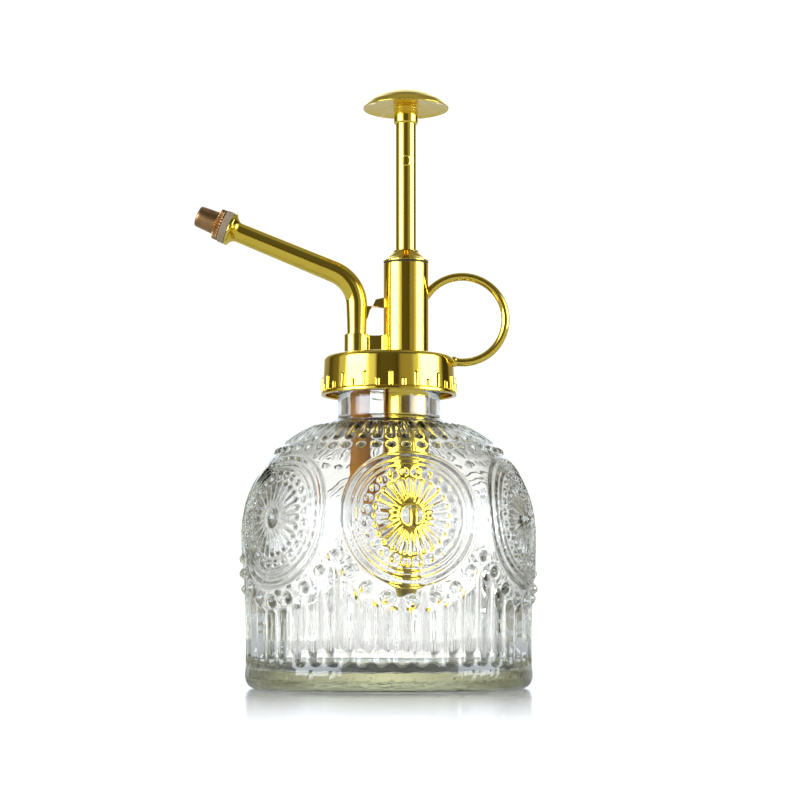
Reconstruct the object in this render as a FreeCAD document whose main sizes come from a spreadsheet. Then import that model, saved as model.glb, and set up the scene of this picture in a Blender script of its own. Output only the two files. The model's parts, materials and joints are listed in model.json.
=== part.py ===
import FreeCAD, Part
import math
import operator
import os

import Sketcher
from FreeCAD import Placement, Rotation, Vector

# Hand mister: a pressed glass bottle with a screw-on head that holds a plunger pump.
# Millimetres, +Z up. The origin is on the bottle's axis, on the face that it stands on.
# The spout points to -X, the finger ring to +X, and the pump's axis stands beside the
# bottle's axis, towards +X, to leave room for the outlet on the other side.

DIMENSIONS = [
    # Bottle
    ("bottle_radius", 38.4),
    ("bottle_widest", 40.5),
    ("bottle_waist_radius", 37.55),
    ("bottle_waist", 11.0),
    ("heel_rounding", 2.8),
    ("shoulder_rounding", 30.5),
    ("glass_wall", 2.8),
    ("glass_floor", 4.6),
    ("inner_heel_rounding", 4.0),
    ("neck_radius", 13.65),
    ("neck_thread_foot", 77.4),
    ("neck_step", 0.6),
    ("neck_root_radius", 12.7),
    ("neck_bore_radius", 11.1),
    ("rim_height", 85.9),
    ("bead_radius", 1.6),
    ("bead_crest_radius", 39.0),
    ("medallion_count", 6),
    ("first_medallion", 9.0),
    # Screw thread between neck and head, right-handed
    ("thread_pitch", 4.2),
    ("thread_start", 79.2),
    ("thread_root_width", 2.0),
    ("thread_crest_width", 1.0),
    ("thread_bite", 0.3),
    ("neck_thread_crest", 13.8),
    ("neck_thread_turns", 1.25),
    ("cap_thread_crest", 12.95),
    ("cap_thread_turns", 0.8),
    ("ring_bore_radius", 14.0),
    ("ring_radius", 15.4),
    ("ring_foot", 78.6),
    ("ring_flange_radius", 16.3),
    ("ring_flange_thickness", 1.3),
    ("gasket_bore_radius", 11.7),
    ("gasket_radius", 13.75),
    ("seat_gap", 0.05),
    # Cap
    ("cap_top", 87.6),
    ("cap_plate", 0.9),
    ("plate_bite", 0.5),
    ("cap_edge_radius", 17.35),
    ("cap_rounding", 1.4),
    ("skirt_foot", 77.1),
    ("skirt_bead_radius", 18.1),
    ("skirt_bead_height", 0.9),
    ("skirt_bead_slope", 0.3),
    ("skirt_radius", 17.75),
    ("skirt_wall", 0.85),
    ("rib_count", 16),
    ("rib_start", 1.9),
    ("rib_width", 0.7),
    ("rib_proud", 0.3),
    ("rib_bite", 0.2),
    ("long_rib_top", 82.0),
    ("short_rib_top", 80.2),
    ("rib_slope", 0.5),
    # Pump barrel
    ("pump_x", 4.55),
    ("barrel_radius", 6.05),
    ("barrel_bore_radius", 5.1),
    ("barrel_foot", 38.0),
    ("barrel_top", 112.6),
    ("barrel_flange_radius", 6.4),
    ("barrel_flange_height", 1.4),
    ("barrel_hole_gap", 0.02),
    ("port_height", 46.5),
    ("port_radius", 1.5),
    ("brace_foot", 101.0),
    ("brace_top", 103.0),
    ("brace_end_x", -4.37),
    ("brace_shoulder_x", -3.55),
    ("brace_thickness", 1.8),
    # Gland on the barrel's top
    ("washer_thickness", 0.35),
    ("washer_radius", 5.95),
    ("gland_foot", 104.3),
    ("gland_stem_radius", 5.05),
    ("gland_lip_radius", 6.1),
    ("gland_lip_top", 113.35),
    ("gland_shoulder_radius", 4.9),
    ("gland_shoulder", 114.3),
    ("gland_top_radius", 3.35),
    ("gland_top", 116.2),
    ("seal_foot", 108.3),
    ("seal_top", 110.35),
    ("seal_radius", 4.3),
    # Plunger
    ("rod_radius", 2.71),
    ("rod_gap", 0.04),
    ("rod_foot", 100.0),
    ("rod_top", 153.6),
    ("screw_hole_depth", 3.6),
    ("knob_top", 160.0),
    ("knob_top_radius", 5.6),
    ("knob_rim_radius", 11.6),
    ("knob_rim_height", 155.2),
    ("knob_rim_thickness", 0.35),
    ("knob_thickness", 2.8),
    ("knob_boss_radius", 3.25),
    ("knob_boss_foot", 150.8),
    ("piston_radius", 4.85),
    ("piston_foot", 96.05),
    ("piston_top", 104.0),
    ("piston_neck_radius", 4.4),
    ("piston_neck_top", 98.6),
    ("cup_radius", 5.05),
    ("cup_foot", 95.0),
    ("cup_lip_top", 98.4),
    ("cup_wall", 0.55),
    ("cup_floor", 1.0),
    ("screw_radius", 1.4),
    ("screw_clearance", 0.05),
    ("screw_head_radius", 4.65),
    ("screw_foot", 93.4),
    ("screw_tip", 103.3),
    # Return spring
    ("spring_radius", 4.2),
    ("spring_wire_radius", 0.4),
    ("spring_turns", 14),
    ("spring_foot", 44.95),
    # Inlet valve at the barrel's foot
    ("cage_foot", 43.2),
    ("cage_top", 44.9),
    ("cage_radius", 5.05),
    ("cage_hole_radius", 0.9),
    ("cage_hole_circle", 2.7),
    ("cage_hole_count", 4),
    ("foot_tip", 23.6),
    ("foot_tip_radius", 2.2),
    ("foot_stem_radius", 3.4),
    ("foot_stem_foot", 27.0),
    ("foot_stem_top", 34.8),
    ("foot_shoulder", 37.0),
    ("foot_plug_top", 42.5),
    ("foot_chamber_radius", 2.6),
    ("foot_seat", 38.9),
    ("foot_bore_radius", 1.0),
    ("foot_socket_top", 29.6),
    ("inlet_ball_radius", 1.5),
    ("ball_gap", 0.03),
    ("dip_tube_radius", 1.55),
    ("dip_tube_bore_radius", 1.0),
    ("dip_tube_foot", 6.2),
    ("dip_tube_gap", 0.05),
    # Outlet: elbow, delivery tube and outlet valve
    ("delivery_x", -7.7),
    ("delivery_radius", 2.75),
    ("delivery_bore_radius", 1.8),
    ("nipple_radius", 1.78),
    ("nipple_bore_radius", 0.95),
    ("nipple_length", 5.0),
    ("nipple_bore_end", 87.0),
    ("elbow_radius", 2.3),
    ("elbow_shoulder", 49.0),
    ("outlet_seat_x", -8.3),
    ("outlet_seat_radius", 0.75),
    ("outlet_ball_radius", 1.2),
    # Spout
    ("spout_x", -8.6),
    ("collar_radius", 3.3),
    ("collar_top", 93.6),
    ("collar_rounding", 0.5),
    ("outlet_chamber_radius", 1.9),
    ("outlet_chamber_top", 90.6),
    ("bridge_top", 93.2),
    ("bridge_width", 4.2),
    ("spout_radius", 2.7),
    ("spout_bore_radius", 1.7),
    ("spout_corner_height", 108.0),
    ("spout_bend_radius", 10.0),
    ("spout_turn", 67.4),
    ("spout_length", 37.0),
    ("flare_length", 3.0),
    ("flare_rim", 0.8),
    ("flare_bite", 0.2),
    ("flare_radius", 4.5),
    ("socket_radius", 2.0),
    ("socket_length", 6.5),
    ("fin_foot", 97.2),
    ("fin_top", 101.2),
    ("fin_end_x", -4.4),
    ("fin_thickness", 1.4),
    # Nozzle, measured along the spout's upper arm from the corner of its centreline
    ("nozzle_washer_radius", 4.4),
    ("nozzle_washer_end", 39.05),
    ("nozzle_gap", 0.03),
    ("nozzle_stem_radius", 1.93),
    ("nozzle_stem_start", 31.5),
    ("nozzle_flange_start", 39.1),
    ("nozzle_flange_end", 40.8),
    ("nozzle_flange_radius", 4.2),
    ("nozzle_root_radius", 3.1),
    ("nozzle_tip_radius", 2.8),
    ("nozzle_tip_chamfer", 0.3),
    ("nozzle_end", 46.3),
    ("nozzle_bore_radius", 1.5),
    ("nozzle_chamber_end", 44.7),
    ("orifice_radius", 0.35),
    ("knurl_count", 30),
    ("knurl_width", 0.42),
    ("knurl_depth", 0.5),
    ("knurl_start", 39.7),
    ("swirl_start", 41.0),
    ("swirl_end", 44.3),
    ("swirl_radius", 1.45),
    ("swirl_slot_width", 0.7),
    ("swirl_slot_depth", 0.5),
    ("swirl_slot_count", 2),
    # Finger ring
    ("ring_centre_x", 19.5),
    ("ring_centre_height", 97.8),
    ("ring_loop_radius", 11.45),
    ("ring_rod_radius", 1.17),
    ("ring_middle_angle", 23.5),
    ("ring_sweep", 249.0),
    ("lug_face_x", 17.9),
    ("lug_inner_x", 14.0),
    ("lug_width", 2.8),
    ("lug_top", 88.0),
    ("lug_foot", 84.1),
    ("lug_chamfer", 0.4),
    ("lug_slope", 0.5),
]

CUT_PAST = 1.0     # how far a hole's cutter runs past the face that it opens
SIDEWAYS = Rotation(Vector(0, 1, 0), 90)     # lays a primitive's own axis along +X
SIGNS = {"+": operator.add, "-": operator.sub, "*": operator.mul, "/": operator.truediv}


class Size:
    """A size as the expression that the document keeps, with its present value beside it."""

    def __init__(self, text, value):
        self.text = text
        self.value = value

    def join(self, sign, other, swapped=False):
        pair = (as_size(other), self) if swapped else (self, as_size(other))
        text = "(%s %s %s)" % (pair[0].text, sign, pair[1].text)
        return Size(text, SIGNS[sign](pair[0].value, pair[1].value))

    def __add__(self, other):
        return self.join("+", other)

    def __radd__(self, other):
        return self.join("+", other, swapped=True)

    def __sub__(self, other):
        return self.join("-", other)

    def __rsub__(self, other):
        return self.join("-", other, swapped=True)

    def __mul__(self, other):
        return self.join("*", other)

    def __rmul__(self, other):
        return self.join("*", other, swapped=True)

    def __truediv__(self, other):
        return self.join("/", other)

    def __neg__(self):
        return Size("(-%s)" % self.text, -self.value)


def as_size(number):
    return number if isinstance(number, Size) else Size(repr(number), number)


def root(size):
    return Size("sqrt(%s)" % size.text, math.sqrt(size.value))


def sine(angle):
    return Size("sin(%s * 1 deg)" % angle.text, math.sin(math.radians(angle.value)))


def cosine(angle):
    return Size("cos(%s * 1 deg)" % angle.text, math.cos(math.radians(angle.value)))


def tangent(angle):
    return Size("tan(%s * 1 deg)" % angle.text, math.tan(math.radians(angle.value)))


def other_side(hypotenuse, side):
    return root(hypotenuse * hypotenuse - side * side)


document = FreeCAD.newDocument("hand_mister")
sheet = document.addObject("Spreadsheet::Sheet", "dims")
size = {}
for row, (alias, number) in enumerate(DIMENSIONS, start=1):
    sheet.set("A%d" % row, alias)
    sheet.set("B%d" % row, str(number))
    sheet.setAlias("B%d" % row, alias)
    size[alias] = Size("dims." + alias, number)
document.recompute()
nodes = []


# Drawing and feature helpers

def bind(thing, name, amount):
    """Tie one property of an object to the sheet."""
    thing.setExpression(name, as_size(amount).text)


def bind_base(thing, place, name="Placement"):
    for axis, amount in zip("xyz", place):
        bind(thing, "%s.Base.%s" % (name, axis), amount)


def new_body(label):
    body = document.addObject("PartDesign::Body", label)
    body.Label = label
    nodes.append(body)
    return body


def origin_feature(body, role):
    return next(item for item in body.Origin.OriginFeatures if item.Role == role)


def new_sketch(body, name, plane="XZ_Plane", shift=None, turn=None):
    """A sketch on one of the body's own planes, moved along it or turned about the sketch's Y."""
    sketch = body.newObject("Sketcher::SketchObject", name)
    sketch.AttachmentSupport = (origin_feature(body, plane), [""])
    sketch.MapMode = "FlatFace"
    if turn is not None:
        sketch.AttachmentOffset = Placement(Vector(), Rotation(Vector(0, 1, 0), turn.value))
        bind(sketch, "AttachmentOffset.Rotation.Angle", turn)
    if shift is not None:
        bind_base(sketch, shift, "AttachmentOffset")
    return sketch


def arc_between(start, end, radius):
    """The short arc of a signed radius: positive turns left on its way from start to end."""
    chord = end - start
    left = Vector(-chord.y, chord.x, 0).normalize()
    reach = math.sqrt(radius * radius - chord.Length ** 2 / 4)
    centre = (start + end) * 0.5 + left * math.copysign(reach, radius)
    first, last = (start, end) if radius > 0 else (end, start)
    first_angle = math.atan2(first.y - centre.y, first.x - centre.x)
    last_angle = math.atan2(last.y - centre.y, last.x - centre.x)
    if last_angle < first_angle:
        last_angle += 2 * math.pi
    circle = Part.Circle(centre, Vector(0, 0, 1), abs(radius))
    return Part.ArcOfCircle(circle, first_angle, last_angle)


def pin_point(sketch, edge, end, corner):
    """Hold an edge's end at its place in the sketch."""
    for kind, axis_line, amount in (("DistanceX", -2, corner[0]), ("DistanceY", -1, corner[1])):
        if isinstance(amount, Size):
            index = sketch.addConstraint(Sketcher.Constraint(kind, edge, end, amount.value))
            bind(sketch, "Constraints[%d]" % index, amount)
        else:
            sketch.addConstraint(Sketcher.Constraint("PointOnObject", edge, end, axis_line))


def draw_outline(sketch, corners):
    """Close an outline through its corners. A third number is the signed radius of the arc
    that arrives at that corner. A plain 0 puts the corner on the axis."""
    points = [Vector(as_size(corner[0]).value, as_size(corner[1]).value, 0) for corner in corners]
    ends = []
    for index, corner in enumerate(corners):
        start, end = points[index - 1], points[index]
        if len(corner) == 3:
            bent = sketch.addGeometry(arc_between(start, end, corner[2].value), False)
            radius = corner[2] if corner[2].value > 0 else -corner[2]
            place = sketch.addConstraint(Sketcher.Constraint("Radius", bent, radius.value))
            bind(sketch, "Constraints[%d]" % place, radius)
            ends.append((1, 2) if corner[2].value > 0 else (2, 1))
        else:
            sketch.addGeometry(Part.LineSegment(start, end), False)
            ends.append((1, 2))
    for index, corner in enumerate(corners):
        pin_point(sketch, index, ends[index][1], corner)
        before = (index - 1) % len(corners)
        sketch.addConstraint(
            Sketcher.Constraint("Coincident", before, ends[before][1], index, ends[index][0]))


def turn_profile(body, name, corners, axis_x=None):
    """Turn a half profile of (radius, height) corners about a vertical axis of the body."""
    shift = None if axis_x is None else (axis_x, 0, 0)
    sketch = new_sketch(body, name + "_profile", shift=shift)
    draw_outline(sketch, corners)
    turning = body.newObject("PartDesign::Revolution", name)
    turning.Profile = sketch
    turning.ReferenceAxis = (sketch, ["V_Axis"])
    turning.Angle = 360
    return turning


def turned_body(label, corners):
    body = new_body(label)
    turn_profile(body, label + "_turning", corners)
    return body


def pad_outline(body, name, corners, thickness, turn=None):
    """Pad an outline in the XZ plane equally to both sides."""
    sketch = new_sketch(body, name + "_outline", turn=turn)
    draw_outline(sketch, corners)
    pad = body.newObject("PartDesign::Pad", name)
    pad.Profile = sketch
    pad.Midplane = True
    bind(pad, "Length", thickness)
    return pad


def add_primitive(body, kind, name, sizes, place=(0, 0, 0), turned=Rotation()):
    """Add or take away one of the body's own primitives."""
    feature = body.newObject("PartDesign::" + kind, name)
    feature.Placement = Placement(Vector(), turned)
    bind_base(feature, place)
    for name_of_size, amount in sizes.items():
        bind(feature, name_of_size, amount)
    return feature


def bore(body, name, radius, foot, top, axis_x=0):
    """Take a vertical hole out of a body."""
    sizes = {"Radius": radius, "Height": top - foot}
    return add_primitive(body, "SubtractiveCylinder", name, sizes, (axis_x, 0, foot))


def pattern_round(body, name, originals, count):
    pattern = body.newObject("PartDesign::PolarPattern", name)
    pattern.Originals = originals
    pattern.Axis = (origin_feature(body, "Z_Axis"), [""])
    pattern.Angle = 360
    bind(pattern, "Occurrences", count)
    body.Tip = pattern
    return pattern


def add_thread(body, name, root_radius, crest_radius, start, turns):
    """A right-handed thread of one shared section, standing out of its wall to the crest."""
    half_root = size["thread_root_width"] / 2
    half_crest = size["thread_crest_width"] / 2
    sketch = new_sketch(body, name + "_section")
    corners = [(root_radius, start - half_root), (crest_radius, start - half_crest),
               (crest_radius, start + half_crest), (root_radius, start + half_root)]
    draw_outline(sketch, corners)
    thread = body.newObject("PartDesign::AdditiveHelix", name)
    thread.Profile = sketch
    thread.ReferenceAxis = (sketch, ["V_Axis"])
    thread.Mode = "pitch-height-angle"
    bind(thread, "Pitch", size["thread_pitch"])
    bind(thread, "Height", size["thread_pitch"] * turns)
    return thread


def tube_body(label, radius, bore_radius, foot, top):
    corners = [(bore_radius, foot), (radius, foot), (radius, top), (bore_radius, top)]
    return turned_body(label, corners)


def ball_body(label, radius, place):
    body = new_body(label)
    add_primitive(body, "AdditiveSphere", label + "_sphere", {"Radius": radius})
    bind_base(body, place)
    return body


def stand_on_pump_axis(body):
    bind_base(body, (size["pump_x"], 0, 0))
    return body


def aim_along_spout(body):
    """Put a body's own Z along the spout's upper arm, from the corner of its centreline."""
    body.Placement = Placement(Vector(), Rotation(Vector(0, -1, 0), size["spout_turn"].value))
    bind(body, "Placement.Rotation.Angle", size["spout_turn"])
    bind_base(body, (size["spout_x"], 0, size["spout_corner_height"]))
    return body


# Bottle and its seal

def make_bottle():
    """A dome-shouldered jar: a shell of even wall with a thick floor and a threaded neck."""
    dome_centre = size["bottle_radius"] - size["shoulder_rounding"]
    inner_dome = size["shoulder_rounding"] - size["glass_wall"]
    widest = size["bottle_widest"]
    neck_foot = widest + other_side(size["shoulder_rounding"], size["neck_radius"] - dome_centre)
    throat = widest + other_side(inner_dome, size["neck_bore_radius"] - dome_centre)
    rise = widest - size["bottle_waist"]
    swell = size["bottle_radius"] - size["bottle_waist_radius"]
    side_rounding = (rise * rise + swell * swell) / (swell * 2)
    waist_radius = size["bottle_waist_radius"]
    inner_waist = waist_radius - size["glass_wall"]
    heel = size["heel_rounding"]
    inner_heel = size["inner_heel_rounding"]
    floor = size["glass_floor"]
    body = turned_body("bottle", [
        (0, 0),
        (waist_radius - heel, 0),
        (waist_radius, heel, heel),
        (waist_radius, size["bottle_waist"]),
        (size["bottle_radius"], widest, side_rounding),
        (size["neck_radius"], neck_foot, size["shoulder_rounding"]),
        (size["neck_radius"], size["neck_thread_foot"]),
        (size["neck_root_radius"], size["neck_thread_foot"] + size["neck_step"]),
        (size["neck_root_radius"], size["rim_height"]),
        (size["neck_bore_radius"], size["rim_height"]),
        (size["neck_bore_radius"], throat),
        (size["bottle_radius"] - size["glass_wall"], widest, -inner_dome),
        (inner_waist, floor + inner_heel),
        (inner_waist - inner_heel, floor, -inner_heel),
        (0, floor)])
    add_thread(body, "neck_thread", size["neck_root_radius"] - size["thread_bite"],
               size["neck_thread_crest"], size["thread_start"], size["neck_thread_turns"])
    add_festoon(body)
    return body


# Height and angle from a medallion's middle of the large beads that hang round it.
FESTOON = [(22.5, 0.0), (23.4, 9.2), (23.4, -9.2), (25.9, 17.7), (25.9, -17.7),
           (29.5, 24.8), (29.5, -24.8), (33.6, 30.0)]


def add_festoon(body):
    """Large glass beads in a swag below each medallion. They are the widest part."""
    reach = size["bead_crest_radius"] - size["bead_radius"]
    beads = []
    for number, (height, aside) in enumerate(FESTOON, start=1):
        angle = size["first_medallion"] + aside
        place = (reach * sine(angle), -reach * cosine(angle), as_size(height))
        beads.append(add_primitive(
            body, "AdditiveSphere", "bead_%d" % number, {"Radius": size["bead_radius"]}, place))
    pattern_round(body, "festoon", beads, size["medallion_count"])


def make_neck_gasket():
    underside = size["cap_top"] - size["cap_plate"]
    return tube_body("neck_gasket", size["gasket_radius"], size["gasket_bore_radius"],
                     size["rim_height"] + size["seat_gap"], underside - size["seat_gap"])


# Cap

def make_cap_shell():
    """Plate and skirt, spout collar, bridge to the barrel, ring lug and delivery nipple."""
    underside = size["cap_top"] - size["cap_plate"]
    bead_top = size["skirt_foot"] + size["skirt_bead_height"]
    edge = size["cap_edge_radius"]
    body = turned_body("cap_shell", [
        (0, underside),
        (edge - size["skirt_wall"], underside),
        (size["skirt_radius"] - size["skirt_wall"], size["skirt_foot"]),
        (size["skirt_bead_radius"], size["skirt_foot"]),
        (size["skirt_bead_radius"], bead_top),
        (size["skirt_radius"], bead_top + size["skirt_bead_slope"]),
        (edge, size["cap_top"] - size["cap_rounding"]),
        (edge - size["cap_rounding"], size["cap_top"], size["cap_rounding"]),
        (0, size["cap_top"])])
    inside_plate = size["cap_top"] - size["plate_bite"]
    turn_profile(body, "collar", [
        (0, inside_plate),
        (size["collar_radius"], inside_plate),
        (size["collar_radius"], size["collar_top"] - size["collar_rounding"]),
        (size["collar_radius"] - size["collar_rounding"], size["collar_top"],
         size["collar_rounding"]),
        (0, size["collar_top"])], size["spout_x"])
    add_bridge(body, inside_plate)
    add_lug(body)
    nipple_foot = underside - size["nipple_length"]
    nipple = {"Radius": size["nipple_radius"], "Height": inside_plate - nipple_foot}
    add_primitive(body, "AdditiveCylinder", "delivery_nipple", nipple,
                  (size["delivery_x"], 0, nipple_foot))
    bore(body, "barrel_hole", size["barrel_radius"] + size["barrel_hole_gap"],
         underside - CUT_PAST, size["collar_top"] + CUT_PAST, size["pump_x"])
    bore(body, "nipple_bore", size["nipple_bore_radius"], nipple_foot - CUT_PAST,
         size["nipple_bore_end"], size["delivery_x"])
    bore(body, "outlet_seat", size["outlet_seat_radius"], underside,
         size["cap_top"] + CUT_PAST, size["outlet_seat_x"])
    bore(body, "outlet_chamber", size["outlet_chamber_radius"], size["cap_top"],
         size["outlet_chamber_top"] + CUT_PAST, size["spout_x"])
    bore(body, "spout_socket", size["spout_radius"] + size["barrel_hole_gap"],
         size["outlet_chamber_top"], size["collar_top"] + CUT_PAST, size["spout_x"])
    add_ribs(body, bead_top)
    return body


def add_bridge(body, foot):
    """The block that ties the spout's collar to the pump barrel."""
    block = {"Length": size["pump_x"] - size["spout_x"], "Width": size["bridge_width"],
             "Height": size["bridge_top"] - foot}
    place = (size["spout_x"], -size["bridge_width"] / 2, foot)
    add_primitive(body, "AdditiveBox", "bridge", block, place)


def add_lug(body):
    """The wedge on the cap's edge that holds the lower end of the finger ring."""
    face, foot, top = size["lug_face_x"], size["lug_foot"], size["lug_top"]
    inner, chamfer = size["lug_inner_x"], size["lug_chamfer"]
    in_wall = size["cap_edge_radius"] - size["skirt_wall"] / 2
    in_plate = size["cap_top"] - size["plate_bite"]
    pad_outline(body, "ring_lug", [
        (inner, in_plate),
        (in_wall, in_plate - chamfer),
        (in_wall, foot),
        (face, foot + chamfer),
        (face, top - chamfer - size["lug_slope"]),
        (face - size["lug_slope"], top - chamfer),
        (inner + chamfer, top)], size["lug_width"])


def add_ribs(body, foot):
    """Long and short grip ribs in turn round the skirt, standing on its bead."""
    half_step = as_size(180) / size["rib_count"]
    kinds = (("long_rib", size["long_rib_top"], size["rib_start"]),
             ("short_rib", size["short_rib_top"], size["rib_start"] + half_step))
    inside = size["cap_edge_radius"] - size["rib_bite"]
    outside = size["skirt_radius"] + size["rib_proud"]
    for name, top, angle in kinds:
        rib = pad_outline(body, name, [
            (inside, foot - size["rib_bite"]),
            (outside, foot - size["rib_bite"]),
            (outside, top - size["rib_slope"]),
            (inside, top)], size["rib_width"], angle)
        pattern_round(body, name + "s", [rib], size["rib_count"])


def make_thread_ring():
    """The closure inside the skirt, whose thread runs on the neck's."""
    top = size["cap_top"] - size["cap_plate"]
    flange_foot = top - size["ring_flange_thickness"]
    body = turned_body("thread_ring", [
        (size["ring_bore_radius"], size["ring_foot"]),
        (size["ring_radius"], size["ring_foot"]),
        (size["ring_radius"], flange_foot),
        (size["ring_flange_radius"], flange_foot),
        (size["ring_flange_radius"], top),
        (size["ring_bore_radius"], top)])
    between_neck_turns = size["thread_start"] + size["thread_pitch"] / 2
    add_thread(body, "cap_thread", size["ring_bore_radius"] + size["thread_bite"],
               size["cap_thread_crest"], between_neck_turns, size["cap_thread_turns"])
    return body


# Pump barrel and gland

def make_pump_barrel():
    """The pump's tube, with a flange under the cap, a side port and a brace tab."""
    flange_top = size["cap_top"] - size["cap_plate"]
    flange_foot = flange_top - size["barrel_flange_height"]
    outer, inner = size["barrel_radius"], size["barrel_bore_radius"]
    body = turned_body("pump_barrel", [
        (inner, size["barrel_foot"]),
        (outer, size["barrel_foot"]),
        (outer, flange_foot),
        (size["barrel_flange_radius"], flange_foot),
        (size["barrel_flange_radius"], flange_top),
        (outer, flange_top),
        (outer, size["barrel_top"]),
        (inner, size["barrel_top"])])
    in_wall = -(outer + inner) / 2
    pad_outline(body, "brace_tab", [
        (size["brace_end_x"] - size["pump_x"], size["brace_foot"]),
        (in_wall, size["brace_foot"]),
        (in_wall, size["brace_top"]),
        (size["brace_shoulder_x"] - size["pump_x"], size["brace_top"])], size["brace_thickness"])
    port = {"Radius": size["port_radius"], "Height": outer}
    add_primitive(body, "SubtractiveCylinder", "side_port", port,
                  (-(outer + CUT_PAST), 0, size["port_height"]), SIDEWAYS)
    return stand_on_pump_axis(body)


def make_gland_washer():
    foot = size["barrel_top"] + size["seat_gap"]
    body = tube_body("gland_washer", size["washer_radius"],
                     size["gland_stem_radius"] + size["seat_gap"],
                     foot, foot + size["washer_thickness"])
    return stand_on_pump_axis(body)


def make_gland_nut():
    """The stepped bush that guides the rod and holds its seal in a groove."""
    rod_hole = size["rod_radius"] + size["rod_gap"]
    lip_foot = size["barrel_top"] + size["seat_gap"] + size["washer_thickness"]
    groove = size["seal_radius"] + size["seat_gap"]
    groove_foot = size["seal_foot"] - size["seat_gap"]
    groove_top = size["seal_top"] + size["seat_gap"]
    body = turned_body("gland_nut", [
        (rod_hole, size["gland_foot"]),
        (size["gland_stem_radius"], size["gland_foot"]),
        (size["gland_stem_radius"], lip_foot),
        (size["gland_lip_radius"], lip_foot),
        (size["gland_lip_radius"], size["gland_lip_top"]),
        (size["gland_shoulder_radius"], size["gland_shoulder"]),
        (size["gland_top_radius"], size["gland_top"]),
        (rod_hole, size["gland_top"]),
        (rod_hole, groove_top),
        (groove, groove_top),
        (groove, groove_foot),
        (rod_hole, groove_foot)])
    return stand_on_pump_axis(body)


def make_rod_seal():
    body = tube_body("rod_seal", size["seal_radius"], size["rod_radius"] + size["rod_gap"],
                     size["seal_foot"], size["seal_top"])
    return stand_on_pump_axis(body)


# Plunger: rod, knob and piston

def make_plunger_rod():
    hole_top = size["rod_foot"] + size["screw_hole_depth"]
    hole = size["screw_radius"] + size["screw_clearance"]
    body = turned_body("plunger_rod", [
        (hole, size["rod_foot"]),
        (size["rod_radius"], size["rod_foot"]),
        (size["rod_radius"], size["rod_top"]),
        (0, size["rod_top"]),
        (0, hole_top),
        (hole, hole_top)])
    return stand_on_pump_axis(body)


def make_push_knob():
    """A dished disc with a thin rim, on a boss that takes the rod."""
    socket = size["rod_radius"] + size["barrel_hole_gap"]
    socket_top = size["rod_top"] + size["seat_gap"]
    underside = size["knob_top"] - size["knob_thickness"]
    body = turned_body("push_knob", [
        (socket, size["knob_boss_foot"]),
        (size["knob_boss_radius"], size["knob_boss_foot"]),
        (size["knob_boss_radius"], underside),
        (size["knob_top_radius"], underside),
        (size["knob_rim_radius"] - size["knob_rim_thickness"],
         size["knob_rim_height"] - size["knob_rim_thickness"]),
        (size["knob_rim_radius"], size["knob_rim_height"]),
        (size["knob_top_radius"], size["knob_top"]),
        (0, size["knob_top"]),
        (0, socket_top),
        (socket, socket_top)])
    return stand_on_pump_axis(body)


def make_piston():
    hole = size["screw_radius"] + size["screw_clearance"]
    socket = size["rod_radius"] + size["barrel_hole_gap"]
    body = turned_body("piston", [
        (hole, size["piston_foot"]),
        (size["piston_neck_radius"], size["piston_foot"]),
        (size["piston_neck_radius"], size["piston_neck_top"]),
        (size["piston_radius"], size["piston_neck_top"]),
        (size["piston_radius"], size["piston_top"]),
        (socket, size["piston_top"]),
        (socket, size["rod_foot"]),
        (hole, size["rod_foot"])])
    return stand_on_pump_axis(body)


def make_piston_cup():
    hole = size["screw_radius"] + size["screw_clearance"]
    floor_top = size["cup_foot"] + size["cup_floor"]
    lip_inside = size["cup_radius"] - size["cup_wall"]
    body = turned_body("piston_cup", [
        (hole, size["cup_foot"]),
        (size["cup_radius"], size["cup_foot"]),
        (size["cup_radius"], size["cup_lip_top"]),
        (lip_inside, size["cup_lip_top"]),
        (lip_inside, floor_top),
        (hole, floor_top)])
    return stand_on_pump_axis(body)


def make_piston_screw():
    head_top = size["cup_foot"] - size["seat_gap"]
    body = turned_body("piston_screw", [
        (0, size["screw_foot"]),
        (size["screw_head_radius"], size["screw_foot"]),
        (size["screw_head_radius"], head_top),
        (size["screw_radius"], head_top),
        (size["screw_radius"], size["screw_tip"]),
        (0, size["screw_tip"])])
    return stand_on_pump_axis(body)


def make_return_spring():
    """Round wire wound between the ball cage and the piston screw's head."""
    wire = size["spring_wire_radius"]
    height = size["screw_foot"] - size["spring_foot"] - wire * 2 - size["seat_gap"]
    path = document.addObject("Part::Helix", "spring_path")
    bind(path, "Radius", size["spring_radius"])
    bind(path, "Pitch", height / size["spring_turns"])
    bind(path, "Height", height)
    section = document.addObject("Part::Circle", "spring_section")
    bind(section, "Radius", wire)
    section.Placement = Placement(Vector(), Rotation(Vector(1, 0, 0), 90))
    bind_base(section, (size["spring_radius"], 0, 0))
    document.recompute()
    spring = document.addObject("Part::Sweep", "return_spring")
    spring.Sections = [section]
    spring.Spine = (path, ["Edge1"])
    spring.Solid = True
    spring.Frenet = True
    spring.Label = "return_spring"
    bind_base(spring, (size["pump_x"], 0, size["spring_foot"] + wire))
    nodes.append(spring)
    return spring


# Inlet valve and dip tube

def make_ball_cage():
    body = turned_body("ball_cage", [
        (0, size["cage_foot"]),
        (size["cage_radius"], size["cage_foot"]),
        (size["cage_radius"], size["cage_top"]),
        (0, size["cage_top"])])
    hole = bore(body, "cage_hole", size["cage_hole_radius"], size["cage_foot"] - CUT_PAST,
                size["cage_top"] + CUT_PAST, size["cage_hole_circle"])
    pattern_round(body, "cage_holes", [hole], size["cage_hole_count"])
    return stand_on_pump_axis(body)


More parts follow.
